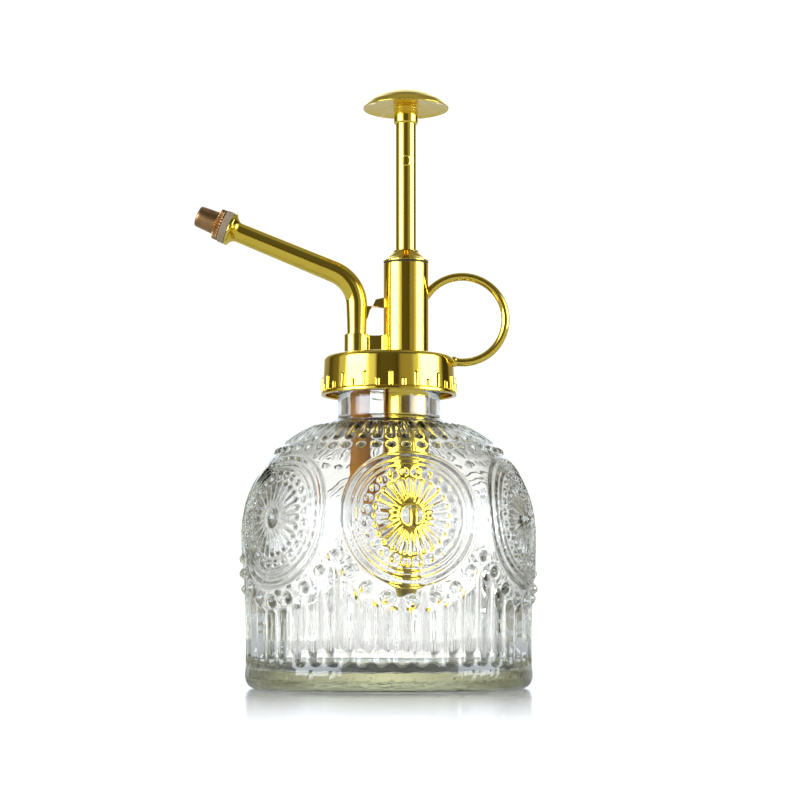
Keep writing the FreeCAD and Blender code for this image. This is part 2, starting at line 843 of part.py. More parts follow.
def make_foot_valve():
    """The tapered foot that plugs the barrel, with the inlet ball's seat and chamber."""
    tube_socket = size["dip_tube_radius"] + size["dip_tube_gap"]
    body = turned_body("foot_valve", [
        (tube_socket, size["foot_tip"]),
        (size["foot_tip_radius"], size["foot_tip"]),
        (size["foot_stem_radius"], size["foot_stem_foot"]),
        (size["foot_stem_radius"], size["foot_stem_top"]),
        (size["barrel_radius"], size["foot_shoulder"]),
        (size["barrel_radius"], size["barrel_foot"]),
        (size["cage_radius"], size["barrel_foot"]),
        (size["cage_radius"], size["foot_plug_top"]),
        (size["foot_chamber_radius"], size["foot_plug_top"]),
        (size["foot_chamber_radius"], size["foot_seat"]),
        (size["foot_bore_radius"], size["foot_seat"]),
        (size["foot_bore_radius"], size["foot_socket_top"]),
        (tube_socket, size["foot_socket_top"])])
    return stand_on_pump_axis(body)


def seated_height(ball_radius, seat_radius, seat_height):
    """The height of a ball's middle when it rests just clear of a round seat's edge."""
    return seat_height + other_side(ball_radius, seat_radius) + size["ball_gap"]


def make_inlet_ball():
    height = seated_height(size["inlet_ball_radius"], size["foot_bore_radius"],
                           size["foot_seat"])
    return ball_body("inlet_ball", size["inlet_ball_radius"], (size["pump_x"], 0, height))


def make_dip_tube():
    body = tube_body("dip_tube", size["dip_tube_radius"], size["dip_tube_bore_radius"],
                     size["dip_tube_foot"], size["foot_socket_top"] - size["seat_gap"])
    return stand_on_pump_axis(body)


# Outlet path

def make_outlet_elbow():
    """From the barrel's side port outwards, then up into the delivery tube."""
    port, radius = size["port_height"], size["elbow_radius"]
    centre = size["delivery_x"]
    wall = size["pump_x"] - size["barrel_radius"] - size["seat_gap"]
    bore_face = size["pump_x"] - size["barrel_bore_radius"] - size["seat_gap"]
    nipple_top = size["elbow_shoulder"] + size["nipple_length"]
    body = turned_body("outlet_elbow", [
        (0, -radius),
        (radius, -radius),
        (radius, size["elbow_shoulder"] - port),
        (size["nipple_radius"], size["elbow_shoulder"] - port),
        (size["nipple_radius"], nipple_top - port),
        (0, nipple_top - port)])
    add_primitive(body, "AdditiveCylinder", "elbow_arm",
                  {"Radius": radius, "Height": wall - centre}, turned=SIDEWAYS)
    add_primitive(body, "AdditiveCylinder", "elbow_spigot",
                  {"Radius": size["port_radius"] - size["seat_gap"],
                   "Height": bore_face - centre},
                  turned=SIDEWAYS)
    add_primitive(body, "SubtractiveCylinder", "elbow_side_bore",
                  {"Radius": size["nipple_bore_radius"],
                   "Height": bore_face - centre + CUT_PAST},
                  turned=SIDEWAYS)
    bore(body, "elbow_up_bore", size["nipple_bore_radius"], as_size(0),
         nipple_top - port + CUT_PAST)
    bind_base(body, (centre, 0, port))
    return body


def make_delivery_tube():
    top = size["cap_top"] - size["cap_plate"] - size["seat_gap"]
    body = tube_body("delivery_tube", size["delivery_radius"], size["delivery_bore_radius"],
                     size["elbow_shoulder"] + size["seat_gap"], top)
    bind_base(body, (size["delivery_x"], 0, 0))
    return body


def make_outlet_ball():
    height = seated_height(size["outlet_ball_radius"], size["outlet_seat_radius"],
                           size["cap_top"])
    return ball_body("outlet_ball", size["outlet_ball_radius"],
                     (size["outlet_seat_x"], 0, height))


# Spout and nozzle

def spout_route(body, name, foot, reach):
    """The spout's centreline: up, round one bend, and out along the upper arm."""
    turn, bend = size["spout_turn"], size["spout_bend_radius"]
    corner = size["spout_corner_height"]
    tangent_run = bend * tangent(turn / 2)
    out, up = sine(turn), cosine(turn)
    points = [(0, foot), (0, corner - tangent_run),
              (-tangent_run * out, corner + tangent_run * up),
              (-reach * out, corner + reach * up)]
    places = [Vector(as_size(x).value, as_size(z).value, 0) for x, z in points]
    sketch = new_sketch(body, name)
    sketch.addGeometry(Part.LineSegment(places[0], places[1]), False)
    sketch.addGeometry(arc_between(places[1], places[2], bend.value), False)
    sketch.addGeometry(Part.LineSegment(places[2], places[3]), False)
    radius = sketch.addConstraint(Sketcher.Constraint("Radius", 1, bend.value))
    bind(sketch, "Constraints[%d]" % radius, bend)
    sketch.addConstraint(Sketcher.Constraint("Coincident", 0, 2, 1, 1))
    sketch.addConstraint(Sketcher.Constraint("Coincident", 1, 2, 2, 1))
    for edge, end, corner_point in ((0, 1, points[0]), (0, 2, points[1]), (2, 1, points[2]),
                                    (2, 2, points[3])):
        pin_point(sketch, edge, end, corner_point)
    return sketch


def add_pipe(body, kind, name, radius, route, foot):
    """Run a round section along the route from the height of its foot."""
    section = new_sketch(body, name + "_section", "XY_Plane", shift=(0, 0, foot))
    circle = Part.Circle(Vector(), Vector(0, 0, 1), radius.value)
    section.addGeometry(circle, False)
    section.addConstraint(Sketcher.Constraint("Coincident", 0, 3, -1, 1))
    place = section.addConstraint(Sketcher.Constraint("Radius", 0, radius.value))
    bind(section, "Constraints[%d]" % place, radius)
    pipe = body.newObject("PartDesign::" + kind, name)
    pipe.Profile = section
    pipe.Spine = (route, ["Edge1", "Edge2", "Edge3"])
    return pipe


def make_spout_tube():
    """The bent tube, flared at its end to seat the nozzle, with a fin against the barrel."""
    body = new_body("spout_tube")
    foot = size["outlet_chamber_top"] + size["seat_gap"]
    length = size["spout_length"]
    route = spout_route(body, "route", foot, length)
    add_pipe(body, "AdditivePipe", "tube", size["spout_radius"], route, foot)
    upper_arm = Rotation(Vector(0, -1, 0), size["spout_turn"].value)
    out, up = sine(size["spout_turn"]), cosine(size["spout_turn"])

    def on_arm(distance):
        return (-distance * out, 0, size["spout_corner_height"] + distance * up)

    rim_start = length - size["flare_rim"]
    add_primitive(body, "AdditiveCone", "flare",
                  {"Radius1": size["spout_radius"] - size["flare_bite"], "Radius2": size["flare_radius"],
                   "Height": size["flare_length"] - size["flare_rim"]},
                  on_arm(length - size["flare_length"]), upper_arm)
    add_primitive(body, "AdditiveCylinder", "flare_rim",
                  {"Radius": size["flare_radius"], "Height": size["flare_rim"]},
                  on_arm(rim_start), upper_arm)
    local_end = size["fin_end_x"] - size["spout_x"]
    in_wall = (size["spout_radius"] + size["spout_bore_radius"]) / 2
    pad_outline(body, "brace_fin", [
        (in_wall, size["fin_foot"]),
        (local_end, size["fin_top"]),
        (in_wall, size["fin_top"])], size["fin_thickness"])
    add_pipe(body, "SubtractivePipe", "waterway", size["spout_bore_radius"], route, foot)
    add_primitive(body, "SubtractiveCylinder", "nozzle_socket",
                  {"Radius": size["socket_radius"],
                   "Height": size["socket_length"] + CUT_PAST},
                  on_arm(length - size["socket_length"]), upper_arm)
    bind_base(body, (size["spout_x"], 0, 0))
    return body


def make_nozzle_washer():
    body = tube_body("nozzle_washer", size["nozzle_washer_radius"],
                     size["nozzle_stem_radius"] + size["seat_gap"],
                     size["spout_length"] + size["nozzle_gap"], size["nozzle_washer_end"])
    return aim_along_spout(body)


def make_nozzle():
    """A hollow nozzle with a stem in the spout, a knurled flange and a small round hole."""
    flange_end = size["nozzle_flange_end"]
    body = turned_body("nozzle", [
        (size["nozzle_bore_radius"], size["nozzle_stem_start"]),
        (size["nozzle_stem_radius"], size["nozzle_stem_start"]),
        (size["nozzle_stem_radius"], size["nozzle_flange_start"]),
        (size["nozzle_flange_radius"], size["nozzle_flange_start"]),
        (size["nozzle_flange_radius"], flange_end),
        (size["nozzle_root_radius"], flange_end),
        (size["nozzle_tip_radius"], size["nozzle_end"] - size["nozzle_tip_chamfer"]),
        (size["nozzle_tip_radius"] - size["nozzle_tip_chamfer"], size["nozzle_end"]),
        (size["orifice_radius"], size["nozzle_end"]),
        (size["orifice_radius"], size["nozzle_chamber_end"]),
        (size["nozzle_bore_radius"], size["nozzle_chamber_end"])])
    notch = add_primitive(
        body, "SubtractiveBox", "knurl_notch",
        {"Length": size["knurl_depth"] + CUT_PAST, "Width": size["knurl_width"],
         "Height": flange_end - size["knurl_start"] + CUT_PAST},
        (size["nozzle_flange_radius"] - size["knurl_depth"], -size["knurl_width"] / 2,
         size["knurl_start"]))
    pattern_round(body, "knurl", [notch], size["knurl_count"])
    return aim_along_spout(body)


def make_swirl_insert():
    """A plug with two slots that make the water spin ahead of the hole."""
    body = turned_body("swirl_insert", [
        (0, size["swirl_start"]),
        (size["swirl_radius"], size["swirl_start"]),
        (size["swirl_radius"], size["swirl_end"]),
        (0, size["swirl_end"])])
    slot = add_primitive(
        body, "SubtractiveBox", "swirl_slot",
        {"Length": size["swirl_slot_depth"] + CUT_PAST, "Width": size["swirl_slot_width"],
         "Height": size["swirl_end"] - size["swirl_start"] + CUT_PAST * 2},
        (size["swirl_radius"] - size["swirl_slot_depth"], -size["swirl_slot_width"] / 2,
         size["swirl_start"] - CUT_PAST))
    pattern_round(body, "swirl_slots", [slot], size["swirl_slot_count"])
    return aim_along_spout(body)


# Finger ring

def make_finger_ring():
    """An open loop of round wire, trimmed where it meets the barrel and the cap's lug."""
    loop = document.addObject("PartDesign::Body", "ring_loop")
    sketch = new_sketch(loop, "ring_section", "XY_Plane")
    circle = Part.Circle(Vector(size["ring_loop_radius"].value, 0, 0), Vector(0, 0, 1),
                         size["ring_rod_radius"].value)
    sketch.addGeometry(circle, False)
    pin_point(sketch, 0, 3, (size["ring_loop_radius"], 0))
    place = sketch.addConstraint(
        Sketcher.Constraint("Radius", 0, size["ring_rod_radius"].value))
    bind(sketch, "Constraints[%d]" % place, size["ring_rod_radius"])
    turning = loop.newObject("PartDesign::Revolution", "ring_turning")
    turning.Profile = sketch
    turning.ReferenceAxis = (sketch, ["V_Axis"])
    turning.Midplane = True
    bind(turning, "Angle", size["ring_sweep"])
    loop.Placement = Placement(Vector(), Rotation(Vector(0, -1, 0), 1))
    bind(loop, "Placement.Rotation.Angle", size["ring_middle_angle"])
    bind_base(loop, (size["ring_centre_x"], 0, size["ring_centre_height"]))

    barrel_space = document.addObject("Part::Cylinder", "barrel_space")
    bind(barrel_space, "Radius", size["barrel_radius"])
    bind(barrel_space, "Height", size["barrel_top"] - size["cap_top"])
    bind_base(barrel_space, (size["pump_x"], 0, size["cap_top"]))
    lug_space = document.addObject("Part::Box", "lug_space")
    bind(lug_space, "Length", size["lug_face_x"])
    bind(lug_space, "Width", size["lug_width"] * 2)
    bind(lug_space, "Height", size["lug_top"] - size["skirt_foot"])
    bind_base(lug_space, (0, -size["lug_width"], size["skirt_foot"]))
    spaces = document.addObject("Part::Fuse", "ring_end_spaces")
    spaces.Base = barrel_space
    spaces.Tool = lug_space
    ring = document.addObject("Part::Cut", "finger_ring")
    ring.Base = loop
    ring.Tool = spaces
    ring.Label = "finger_ring"
    nodes.append(ring)
    return ring


# Checks and files

def check_document():
    """Stop if any object failed, or if a sub-part isn't a whole, valid solid."""
    for item in document.Objects:
        if "Invalid" in item.State or "Error" in item.State:
            raise RuntimeError("%s failed: %s" % (item.Name, item.State))
    for node in nodes:
        shape = node.Shape
        if shape.isNull() or not shape.isValid() or len(shape.Solids) != 1:
            raise RuntimeError("%s is not one valid solid" % node.Label)


def write_parts():
    os.makedirs("parts", exist_ok=True)
    for node in nodes:
        node.Shape.exportStep(os.path.join("parts", node.Label + ".step"))
        print("%-16s %9.1f mm3" % (node.Label, node.Shape.Volume))


make_bottle()
make_neck_gasket()
make_cap_shell()
make_thread_ring()
make_pump_barrel()
make_gland_washer()
make_gland_nut()
make_rod_seal()
make_plunger_rod()
make_push_knob()
make_piston()
make_piston_cup()
make_piston_screw()
make_return_spring()
make_ball_cage()
make_foot_valve()
make_inlet_ball()
make_dip_tube()
make_outlet_elbow()
make_delivery_tube()
make_outlet_ball()
make_spout_tube()
make_nozzle_washer()
make_nozzle()
make_swirl_insert()
make_finger_ring()
document.recompute()
check_document()
write_parts()
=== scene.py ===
import json
import math

import bmesh
import bpy
import numpy as np
from mathutils import Matrix, Vector


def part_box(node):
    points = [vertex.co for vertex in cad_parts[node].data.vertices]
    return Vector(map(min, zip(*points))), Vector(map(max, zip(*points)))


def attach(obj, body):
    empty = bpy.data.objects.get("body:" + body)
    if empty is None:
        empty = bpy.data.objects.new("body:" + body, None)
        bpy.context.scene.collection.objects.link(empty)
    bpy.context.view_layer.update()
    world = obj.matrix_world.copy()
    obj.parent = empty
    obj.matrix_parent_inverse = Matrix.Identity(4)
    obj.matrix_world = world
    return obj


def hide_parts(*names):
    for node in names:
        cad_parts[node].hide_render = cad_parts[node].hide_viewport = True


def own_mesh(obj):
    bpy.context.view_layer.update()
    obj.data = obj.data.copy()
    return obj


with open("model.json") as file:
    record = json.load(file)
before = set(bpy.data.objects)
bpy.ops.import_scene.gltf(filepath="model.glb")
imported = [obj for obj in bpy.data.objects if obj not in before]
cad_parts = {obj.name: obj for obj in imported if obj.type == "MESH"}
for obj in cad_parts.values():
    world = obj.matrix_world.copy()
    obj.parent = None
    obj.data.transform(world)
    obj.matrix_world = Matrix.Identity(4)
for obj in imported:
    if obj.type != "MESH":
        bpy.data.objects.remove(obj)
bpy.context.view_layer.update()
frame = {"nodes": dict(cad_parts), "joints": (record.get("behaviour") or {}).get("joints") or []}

# Lengths are in millimetres until a mesh is made; angles are in degrees where a name says so.
MM = 0.001


# ---------------------------------------------------------------- places that the frame gives

def joint(name):
    """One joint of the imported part."""
    return next(entry for entry in frame["joints"] if entry["name"] == name)


def middle(node):
    """The middle of a node's box, in millimetres."""
    low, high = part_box(node)
    return (low + high) / 2 / MM


def bottom(node):
    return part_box(node)[0].z / MM


def top(node):
    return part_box(node)[1].z / MM


PUMP_X = middle("plunger_rod").x
DELIVERY_X = middle("delivery_tube").x
CORNER = Vector(joint("nozzle_turn")["pos_m"]) / MM
ARM = Vector(joint("nozzle_turn")["axis"]).normalized()
CAP_TOP, CAP_PLATE = 87.6, 0.9


# ---------------------------------------------------------------- shapes: (points, faces)

LONGEST_REACH = 0.46  # share of a side that one corner's arc may take
LEAD_IN = 1.12  # how far out the outline gets a point beside an arc, as a share of the arc's reach


def rounded(corners, steps=6):
    """Outline through (r, z, rounding) corners, each turned by an arc of that radius."""
    points = []
    for index, (r, z, rounding) in enumerate(corners):
        here = Vector((r, z))
        if not rounding:
            points.append(here)
            continue
        back = Vector(corners[index - 1][:2]) - here
        ahead = Vector(corners[(index + 1) % len(corners)][:2]) - here
        half = back.angle(ahead) / 2
        reach = min(rounding / math.tan(half), LONGEST_REACH * back.length, LONGEST_REACH * ahead.length)
        radius = reach * math.tan(half)
        back.normalize()
        ahead.normalize()
        centre = here + (back + ahead).normalized() * radius / math.sin(half)
        first = here + back * reach - centre
        last = here + ahead * reach - centre
        sweep = math.pi - 2 * half
        count = max(2, math.ceil(sweep / (math.pi / 2) * steps))
        points.append(here + back * reach * LEAD_IN)
        for step in range(count + 1):
            share = step / count
            spoke = first * math.sin((1 - share) * sweep) + last * math.sin(share * sweep)
            points.append(centre + spoke / math.sin(sweep))
        points.append(here + ahead * reach * LEAD_IN)
    return points


def skin(rings, loop=False):
    """Surface over rings of points; a ring of one point closes an end, a loop joins last to first."""
    points, starts = [], []
    for ring in rings:
        starts.append(len(points))
        points.extend(tuple(map(float, point)) for point in ring)
    faces = []
    pairs = list(zip(range(len(rings)), range(1, len(rings))))
    if loop:
        pairs.append((len(rings) - 1, 0))
    for low, high in pairs:
        count = max(len(rings[low]), len(rings[high]))
        for side in range(count):
            beside = (side + 1) % count
            corners = []
            if len(rings[low]) == 1:
                corners.append(starts[low])
            else:
                corners += [starts[low] + side, starts[low] + beside]
            if len(rings[high]) == 1:
                corners.append(starts[high])
            else:
                corners += [starts[high] + beside, starts[high] + side]
            faces.append(tuple(corners))
    return points, faces


def circle(radius, height, centre_x=0.0, segments=128):
    """A level ring of points, or one point where the radius is nothing."""
    if radius < 1e-6:
        return [(centre_x, 0.0, height)]
    angles = np.arange(segments) * 2 * math.pi / segments
    return np.column_stack([
        centre_x + radius * np.sin(angles),
        -radius * np.cos(angles),
        np.full(segments, height),
    ])


def turned(corners, centre_x=0.0, segments=128, loop=False):
    """Solid of revolution about a vertical axis."""
    return skin([circle(r, z, centre_x, segments) for r, z in rounded(corners)], loop)


def placed(shape, matrix):
    points, faces = shape
    return [tuple(matrix @ Vector(point)) for point in points], faces


def arm_matrix():
    """Stands local +Z along the spout's arm, from the corner of its centreline."""
    across = Vector((0, 1, 0)).cross(ARM)
    matrix = Matrix((across, Vector((0, 1, 0)), ARM)).transposed().to_4x4()
    return Matrix.Translation(CORNER) @ matrix


def tube(path, radii, segments):
    """Solid round bar along a path that lies in a plane of constant Y."""
    path = [Vector(point) for point in path]
    radii = [float(radius) for radius in radii]
    rings = []
    for index, point in enumerate(path):
        before = path[max(index - 1, 0)]
        after = path[min(index + 1, len(path) - 1)]
        along = (after - before).normalized()
        side = Vector((0, 1, 0))
        across = side.cross(along)
        ring = []
        for step in range(segments):
            angle = 2 * math.pi * step / segments
            ring.append(point + radii[index] * (math.cos(angle) * across + math.sin(angle) * side))
        rings.append(ring)
    return skin([[path[0]], *rings, [path[-1]]])


def slab(outline, levels, axes="xyz"):
    """Plate from an outline in the first two axes, drawn in by (height, inset) levels along the third."""
    centre = sum((Vector(point) for point in outline), Vector((0, 0))) / len(outline)
    order = [axes.index(axis) for axis in "xyz"]

    def stood(point, height):
        along = (point.x, point.y, height)
        return [along[index] for index in order]

    rings = []
    for height, inset in levels:
        ring = []
        for point in outline:
            out = Vector(point) - centre
            ring.append(stood(centre + out * (1 - inset / out.length), height))
        rings.append(ring)
    foot, peak = ([stood(centre, levels[end][0])] for end in (0, -1))
    return skin([foot, *rings, peak])


def smooth_loop(points, steps):
    """Closed Catmull-Rom curve through points in a plane, in steps between each two."""
    points = [Vector(point) for point in points]
    count = len(points)
    loop = []
    for index in range(count):
        a, b, c, d = (points[(index + offset) % count] for offset in (-1, 0, 1, 2))
        for step in range(steps):
            t = step / steps
            loop.append(0.5 * (2 * b + (c - a) * t + (2 * a - 5 * b + 4 * c - d) * t * t
                               + (3 * b - a - 3 * c + d) * t ** 3))
    return loop


def add_piece(name, shapes, material, body, nodes, sharp_degrees=38):
    """Makes one piece from closed shapes, gives it its body and finish, and hides the CAD nodes it stands
    for.
    """
    points, faces = [], []
    for shape_points, shape_faces in shapes:
        start = len(points)
        points.extend(shape_points)
        faces.extend(tuple(start + corner for corner in face) for face in shape_faces)
    mesh = bpy.data.meshes.new(name)
    mesh.from_pydata((np.array(points, float) * MM).tolist(), [], faces)
    worked = bmesh.new()
    worked.from_mesh(mesh)
    bmesh.ops.recalc_face_normals(worked, faces=worked.faces)
    worked.to_mesh(mesh)
    worked.free()
    mesh.shade_smooth()
    mesh.set_sharp_from_angle(angle=math.radians(sharp_degrees))
    mesh.materials.append(material)
    piece = bpy.data.objects.new(name, mesh)
    bpy.context.scene.collection.objects.link(piece)
    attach(piece, body)
    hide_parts(*nodes)
    return piece


# ---------------------------------------------------------------- materials

def add_node(tree, kind, inputs=None, **settings):
    """A node with its settings; an input is a value or another node's output socket."""
    node = tree.nodes.new("ShaderNode" + kind)
    for key, value in settings.items():
        setattr(node, key, value)
    for key, value in (inputs or {}).items():
        socket = node.inputs[key]
        if isinstance(value, bpy.types.NodeSocket):
            tree.links.new(value, socket)
        else:
            socket.default_value = value
    return node


def new_material(name, **values):
    """A material whose constants sit on its shader's own sockets."""
    material = bpy.data.materials.new(name)
    material.use_nodes = True
    tree = material.node_tree
    shader = tree.nodes["Principled BSDF"]
    for key, value in values.items():
        shader.inputs[key.replace("_", " ")].default_value = value
    place = add_node(tree, "TexCoord").outputs["Object"]
    return material, tree, shader, place


def noise(tree, place, scale, detail=2.0, roughness=0.5, stretch=None):
    """Noise of a scale per metre, which may be stretched along an axis."""
    if stretch:
        place = add_node(tree, "Mapping", {"Vector": place, "Scale": stretch}).outputs["Vector"]
    inputs = {"Vector": place, "Scale": scale, "Detail": detail, "Roughness": roughness}
    return add_node(tree, "TexNoise", inputs).outputs["Fac"]


def ranged(tree, value, low, high, from_low=0.3, from_high=0.7):
    """A value mapped to a range and held at its ends; noise runs from about 0.3 to 0.7."""
    inputs = {"Value": value, "From Min": from_low, "From Max": from_high, "To Min": low, "To Max": high}
    return add_node(tree, "MapRange", inputs).outputs["Result"]


def two_colours(tree, share, first, second):
    """A colour between two, by a share from 0 to 1."""
    mix = add_node(tree, "Mix", data_type="RGBA")
    tree.links.new(share, mix.inputs["Factor"])
    mix.inputs["A"].default_value = (*first, 1)
    mix.inputs["B"].default_value = (*second, 1)
    return mix.outputs["Result"]


def add_bump(tree, shader, height, strength, distance):
    """Fine relief on a finish; the distance is in metres."""
    bumped = add_node(tree, "Bump", {"Height": height, "Strength": strength, "Distance": distance})
    tree.links.new(bumped.outputs["Normal"], shader.inputs["Normal"])


def gold_plate():
    """Bright brass-coloured plating, with faint smears, fine wear lines and paler edges."""
    material, tree, shader, place = new_material("gold_plate", Metallic=1.0)
    smear = noise(tree, place, 160, 3)
    edge = add_node(tree, "NewGeometry").outputs["Pointiness"]
    # The base colour turns paler and brighter on convex edges, by pointiness.
    edge_paling = ranged(tree, edge, 0.0, 1.0, 0.5, 0.62)
    base = two_colours(tree, ranged(tree, smear, 0, 1), (0.94, 0.70, 0.090), (0.88, 0.63, 0.072))
    paler = add_node(tree, "Mix", data_type="RGBA")
    tree.links.new(edge_paling, paler.inputs["Factor"])
    tree.links.new(base, paler.inputs["A"])
    paler.inputs["B"].default_value = (0.97, 0.79, 0.17, 1)
    tree.links.new(paler.outputs["Result"], shader.inputs["Base Color"])
    lines = noise(tree, place, 900, 2, stretch=(3.0, 3.0, 0.25))
    tree.links.new(ranged(tree, smear, 0.06, 0.13), shader.inputs["Roughness"])
    add_bump(tree, shader, lines, 0.04, 0.00004)
    return material


def nozzle_copper():
    """Satin copper-brown alloy with darker tarnish in patches."""
    material, tree, shader, place = new_material("copper_brass", Metallic=1.0)
    patch = noise(tree, place, 420, 4, 0.6)
    base = two_colours(tree, ranged(tree, patch, 0, 1), (0.50, 0.295, 0.125), (0.32, 0.17, 0.065))
    tree.links.new(base, shader.inputs["Base Color"])
    tree.links.new(ranged(tree, patch, 0.28, 0.42), shader.inputs["Roughness"])
    add_bump(tree, shader, noise(tree, place, 2600, 3), 0.25, 0.00006)
    return material


def moulded(name, pale, deep, rough_low, rough_high, grain=700, bump=0.15, **values):
    """Moulded plastic or rubber: two close tones, a grain, and roughness that varies."""
    material, tree, shader, place = new_material(name, **values)
    tone = noise(tree, place, grain / 4, 3)
    tree.links.new(two_colours(tree, ranged(tree, tone, 0, 1), pale, deep), shader.inputs["Base Color"])
    tree.links.new(ranged(tree, tone, rough_low, rough_high), shader.inputs["Roughness"])
    add_bump(tree, shader, noise(tree, place, grain, 3), bump, 0.0001)
    return material


def spring_steel():
    """Drawn stainless wire and turned balls, with fine drawing lines."""
    material, tree, shader, place = new_material("steel", Metallic=1.0)
    tone = noise(tree, place, 500, 3)
    base = two_colours(tree, ranged(tree, tone, 0, 1), (0.62, 0.61, 0.59), (0.50, 0.49, 0.47))
    tree.links.new(base, shader.inputs["Base Color"])
    tree.links.new(ranged(tree, tone, 0.18, 0.32), shader.inputs["Roughness"])
    add_bump(tree, shader, noise(tree, place, 2400, 2, stretch=(1, 1, 6)), 0.1, 0.00005)
    return material


def pressed_glass():
    """Soda-lime glass, green in the depth, with the ripple and faint haze of pressed ware."""
    material, tree, shader, place = new_material("clear_glass", Transmission_Weight=1.0, IOR=1.5)
    shader.inputs["Base Color"].default_value = (1, 1, 1, 1)
    haze = noise(tree, place, 240, 3)
    tree.links.new(ranged(tree, haze, 0.0, 0.012, 0.45, 0.75), shader.inputs["Roughness"])
    add_bump(tree, shader, noise(tree, place, 190, 2), 0.10, 0.0006)
    depth = add_node(tree, "VolumeAbsorption", {"Color": (0.56, 0.57, 0.20, 1), "Density": 19.0})
    tree.links.new(depth.outputs["Volume"], tree.nodes["Material Output"].inputs["Volume"])
    return material


def hose_plastic():
    """Milky see-through polythene hose."""
    material, tree, shader, place = new_material("clear_hose", Transmission_Weight=1.0, IOR=1.06)
    tone = noise(tree, place, 300, 3)
    base = two_colours(tree, ranged(tree, tone, 0, 1), (0.99, 0.99, 0.98), (0.95, 0.96, 0.94))
    tree.links.new(base, shader.inputs["Base Color"])
    tree.links.new(ranged(tree, tone, 0.02, 0.08), shader.inputs["Roughness"])
    add_bump(tree, shader, noise(tree, place, 900, 2), 0.1, 0.0001)
    return material


MATERIALS = {
    "clear_glass": pressed_glass(),
    "gold_plate": gold_plate(),
    "copper_brass": nozzle_copper(),
    "beige_seal": moulded("beige_seal", (0.39, 0.30, 0.185), (0.30, 0.225, 0.13), 0.42, 0.6, 900,
                          Subsurface_Weight=0.1, Subsurface_Scale=0.001),
    "brown_plastic": moulded("brown_plastic", (0.74, 0.30, 0.018), (0.56, 0.20, 0.010), 0.35, 0.5, 300,
                             Specular_IOR_Level=0.2),
    "black_rubber": moulded("black_rubber", (0.022, 0.021, 0.020), (0.012, 0.012, 0.012), 0.5, 0.7, 1500),
    "white_plastic": moulded("white_plastic", (0.80, 0.79, 0.75), (0.71, 0.70, 0.66), 0.3, 0.45, 600,
                             Subsurface_Weight=0.15, Subsurface_Scale=0.002),
    "clear_hose": hose_plastic(),
    "steel": spring_steel(),
}


def dress_cad_nodes():
    """Gives every CAD node the finish of its slot; the ones that a piece stands for are hidden."""
    for node in frame["nodes"].values():
        for index, slot_material in enumerate(node.data.materials):
            name = slot_material.name.split(".")[0]
            node.data.materials[index] = MATERIALS[name]


# ---------------------------------------------------------------- the glass bottle

WALL = 2.8
EQUATOR_RADIUS, EQUATOR = 38.4, 40.5
WAIST_RADIUS, WAIST = 37.55, 11.0
HEEL_RADIUS, HEEL_TOP = 37.7, 3.3
DOME_ROUNDING = 30.5
DOME_X = EQUATOR_RADIUS - DOME_ROUNDING
NECK_RADIUS, NECK_ROOT, NECK_BORE = 13.65, 12.7, 11.1
NECK_STEP = 77.4
RIM = top("bottle")
FLOOR_TOP, FLOOR_DISH = 4.6, 0.25

MEDALLIONS = 6
FIRST_MEDALLION_DEGREES = 9.0
MEDALLION_HEIGHT = 43.6
MEDALLION_PITCH = 2 * math.pi / MEDALLIONS
PETALS = 24
FLUTES = 48
SHOULDER_RIBS = 48
STIPPLES = 176
COLUMNS = 528
INNER_STEP = 4  # the inside has one column for this many outside


def side_radius(height):
    """Radius of the smooth outside, from the heel to the widest height."""
    if height < WAIST:
        share = (WAIST - height) / (WAIST - HEEL_TOP)
        return WAIST_RADIUS + (HEEL_RADIUS - WAIST_RADIUS) * share ** 2
    share = (height - WAIST) / (EQUATOR - WAIST)
    return WAIST_RADIUS + (EQUATOR_RADIUS - WAIST_RADIUS) * share ** 2 * (3 - 2 * share)


def outer_rows():
    """Rows of the outside, foot to rim: (radius, height, distance up the surface from the medallions)."""
    rows = [(0.0, 1.4), (8.0, 1.4), (18.0, 1.25), (25.0, 0.9), (28.4, 0.35)]
    rows += [(radius, 0.0) for radius in np.linspace(29.6, 34.4, 7)]
    for step in range(1, 8):
        angle = math.radians(90 * step / 8)
        reach = HEEL_RADIUS - 34.9
        rows.append((34.9 + reach * math.sin(angle), HEEL_TOP * (1 - math.cos(angle))))
    rows += [(side_radius(height), height) for height in (3.3, 4.4, 5.4)]
    rows += [(side_radius(height), height) for height in np.arange(6.0, 8.4, 0.4)]
    rows += [(side_radius(height), height) for height in np.arange(9.0, 19.0, 1.25)]
    rows += [(side_radius(height), height) for height in np.arange(19.3, EQUATOR, 0.36)]
    last_angle = math.acos((NECK_RADIUS + 0.7 - DOME_X) / DOME_ROUNDING)
    fine_angle = math.acos((26.6 - DOME_X) / DOME_ROUNDING)
    angles = list(np.arange(0.0, fine_angle, 0.36 / DOME_ROUNDING))
    angles += list(np.arange(fine_angle, last_angle, 0.6 / DOME_ROUNDING))
    for angle in angles:
        rows.append((DOME_X + DOME_ROUNDING * math.cos(angle), EQUATOR + DOME_ROUNDING * math.sin(angle)))
    neck_foot = rows[-1][1]
    rows += [(NECK_RADIUS + 0.28, neck_foot + 0.35), (NECK_RADIUS + 0.06, neck_foot + 0.8)]
    rows += [(NECK_RADIUS, height) for height in (neck_foot + 1.4, 74.0, NECK_STEP - 0.7)]
    rows += [(NECK_RADIUS - 0.12, NECK_STEP - 0.25), (NECK_ROOT + 0.3, NECK_STEP + 0.2)]
    rows += [(NECK_ROOT, height) for height in np.arange(NECK_STEP + 0.55, RIM - 0.9, 0.35)]
    rows += [(NECK_ROOT - 0.05, RIM - 0.5), (NECK_ROOT - 0.3, RIM - 0.12), (NECK_ROOT - 0.7, RIM)]
    radii, heights = np.array(rows).T
    steps = np.hypot(np.diff(radii), np.diff(heights))
    up = np.concatenate([[0], np.cumsum(steps)])
    up -= np.interp(MEDALLION_HEIGHT, heights[7:], up[7:])
    return radii, heights, up


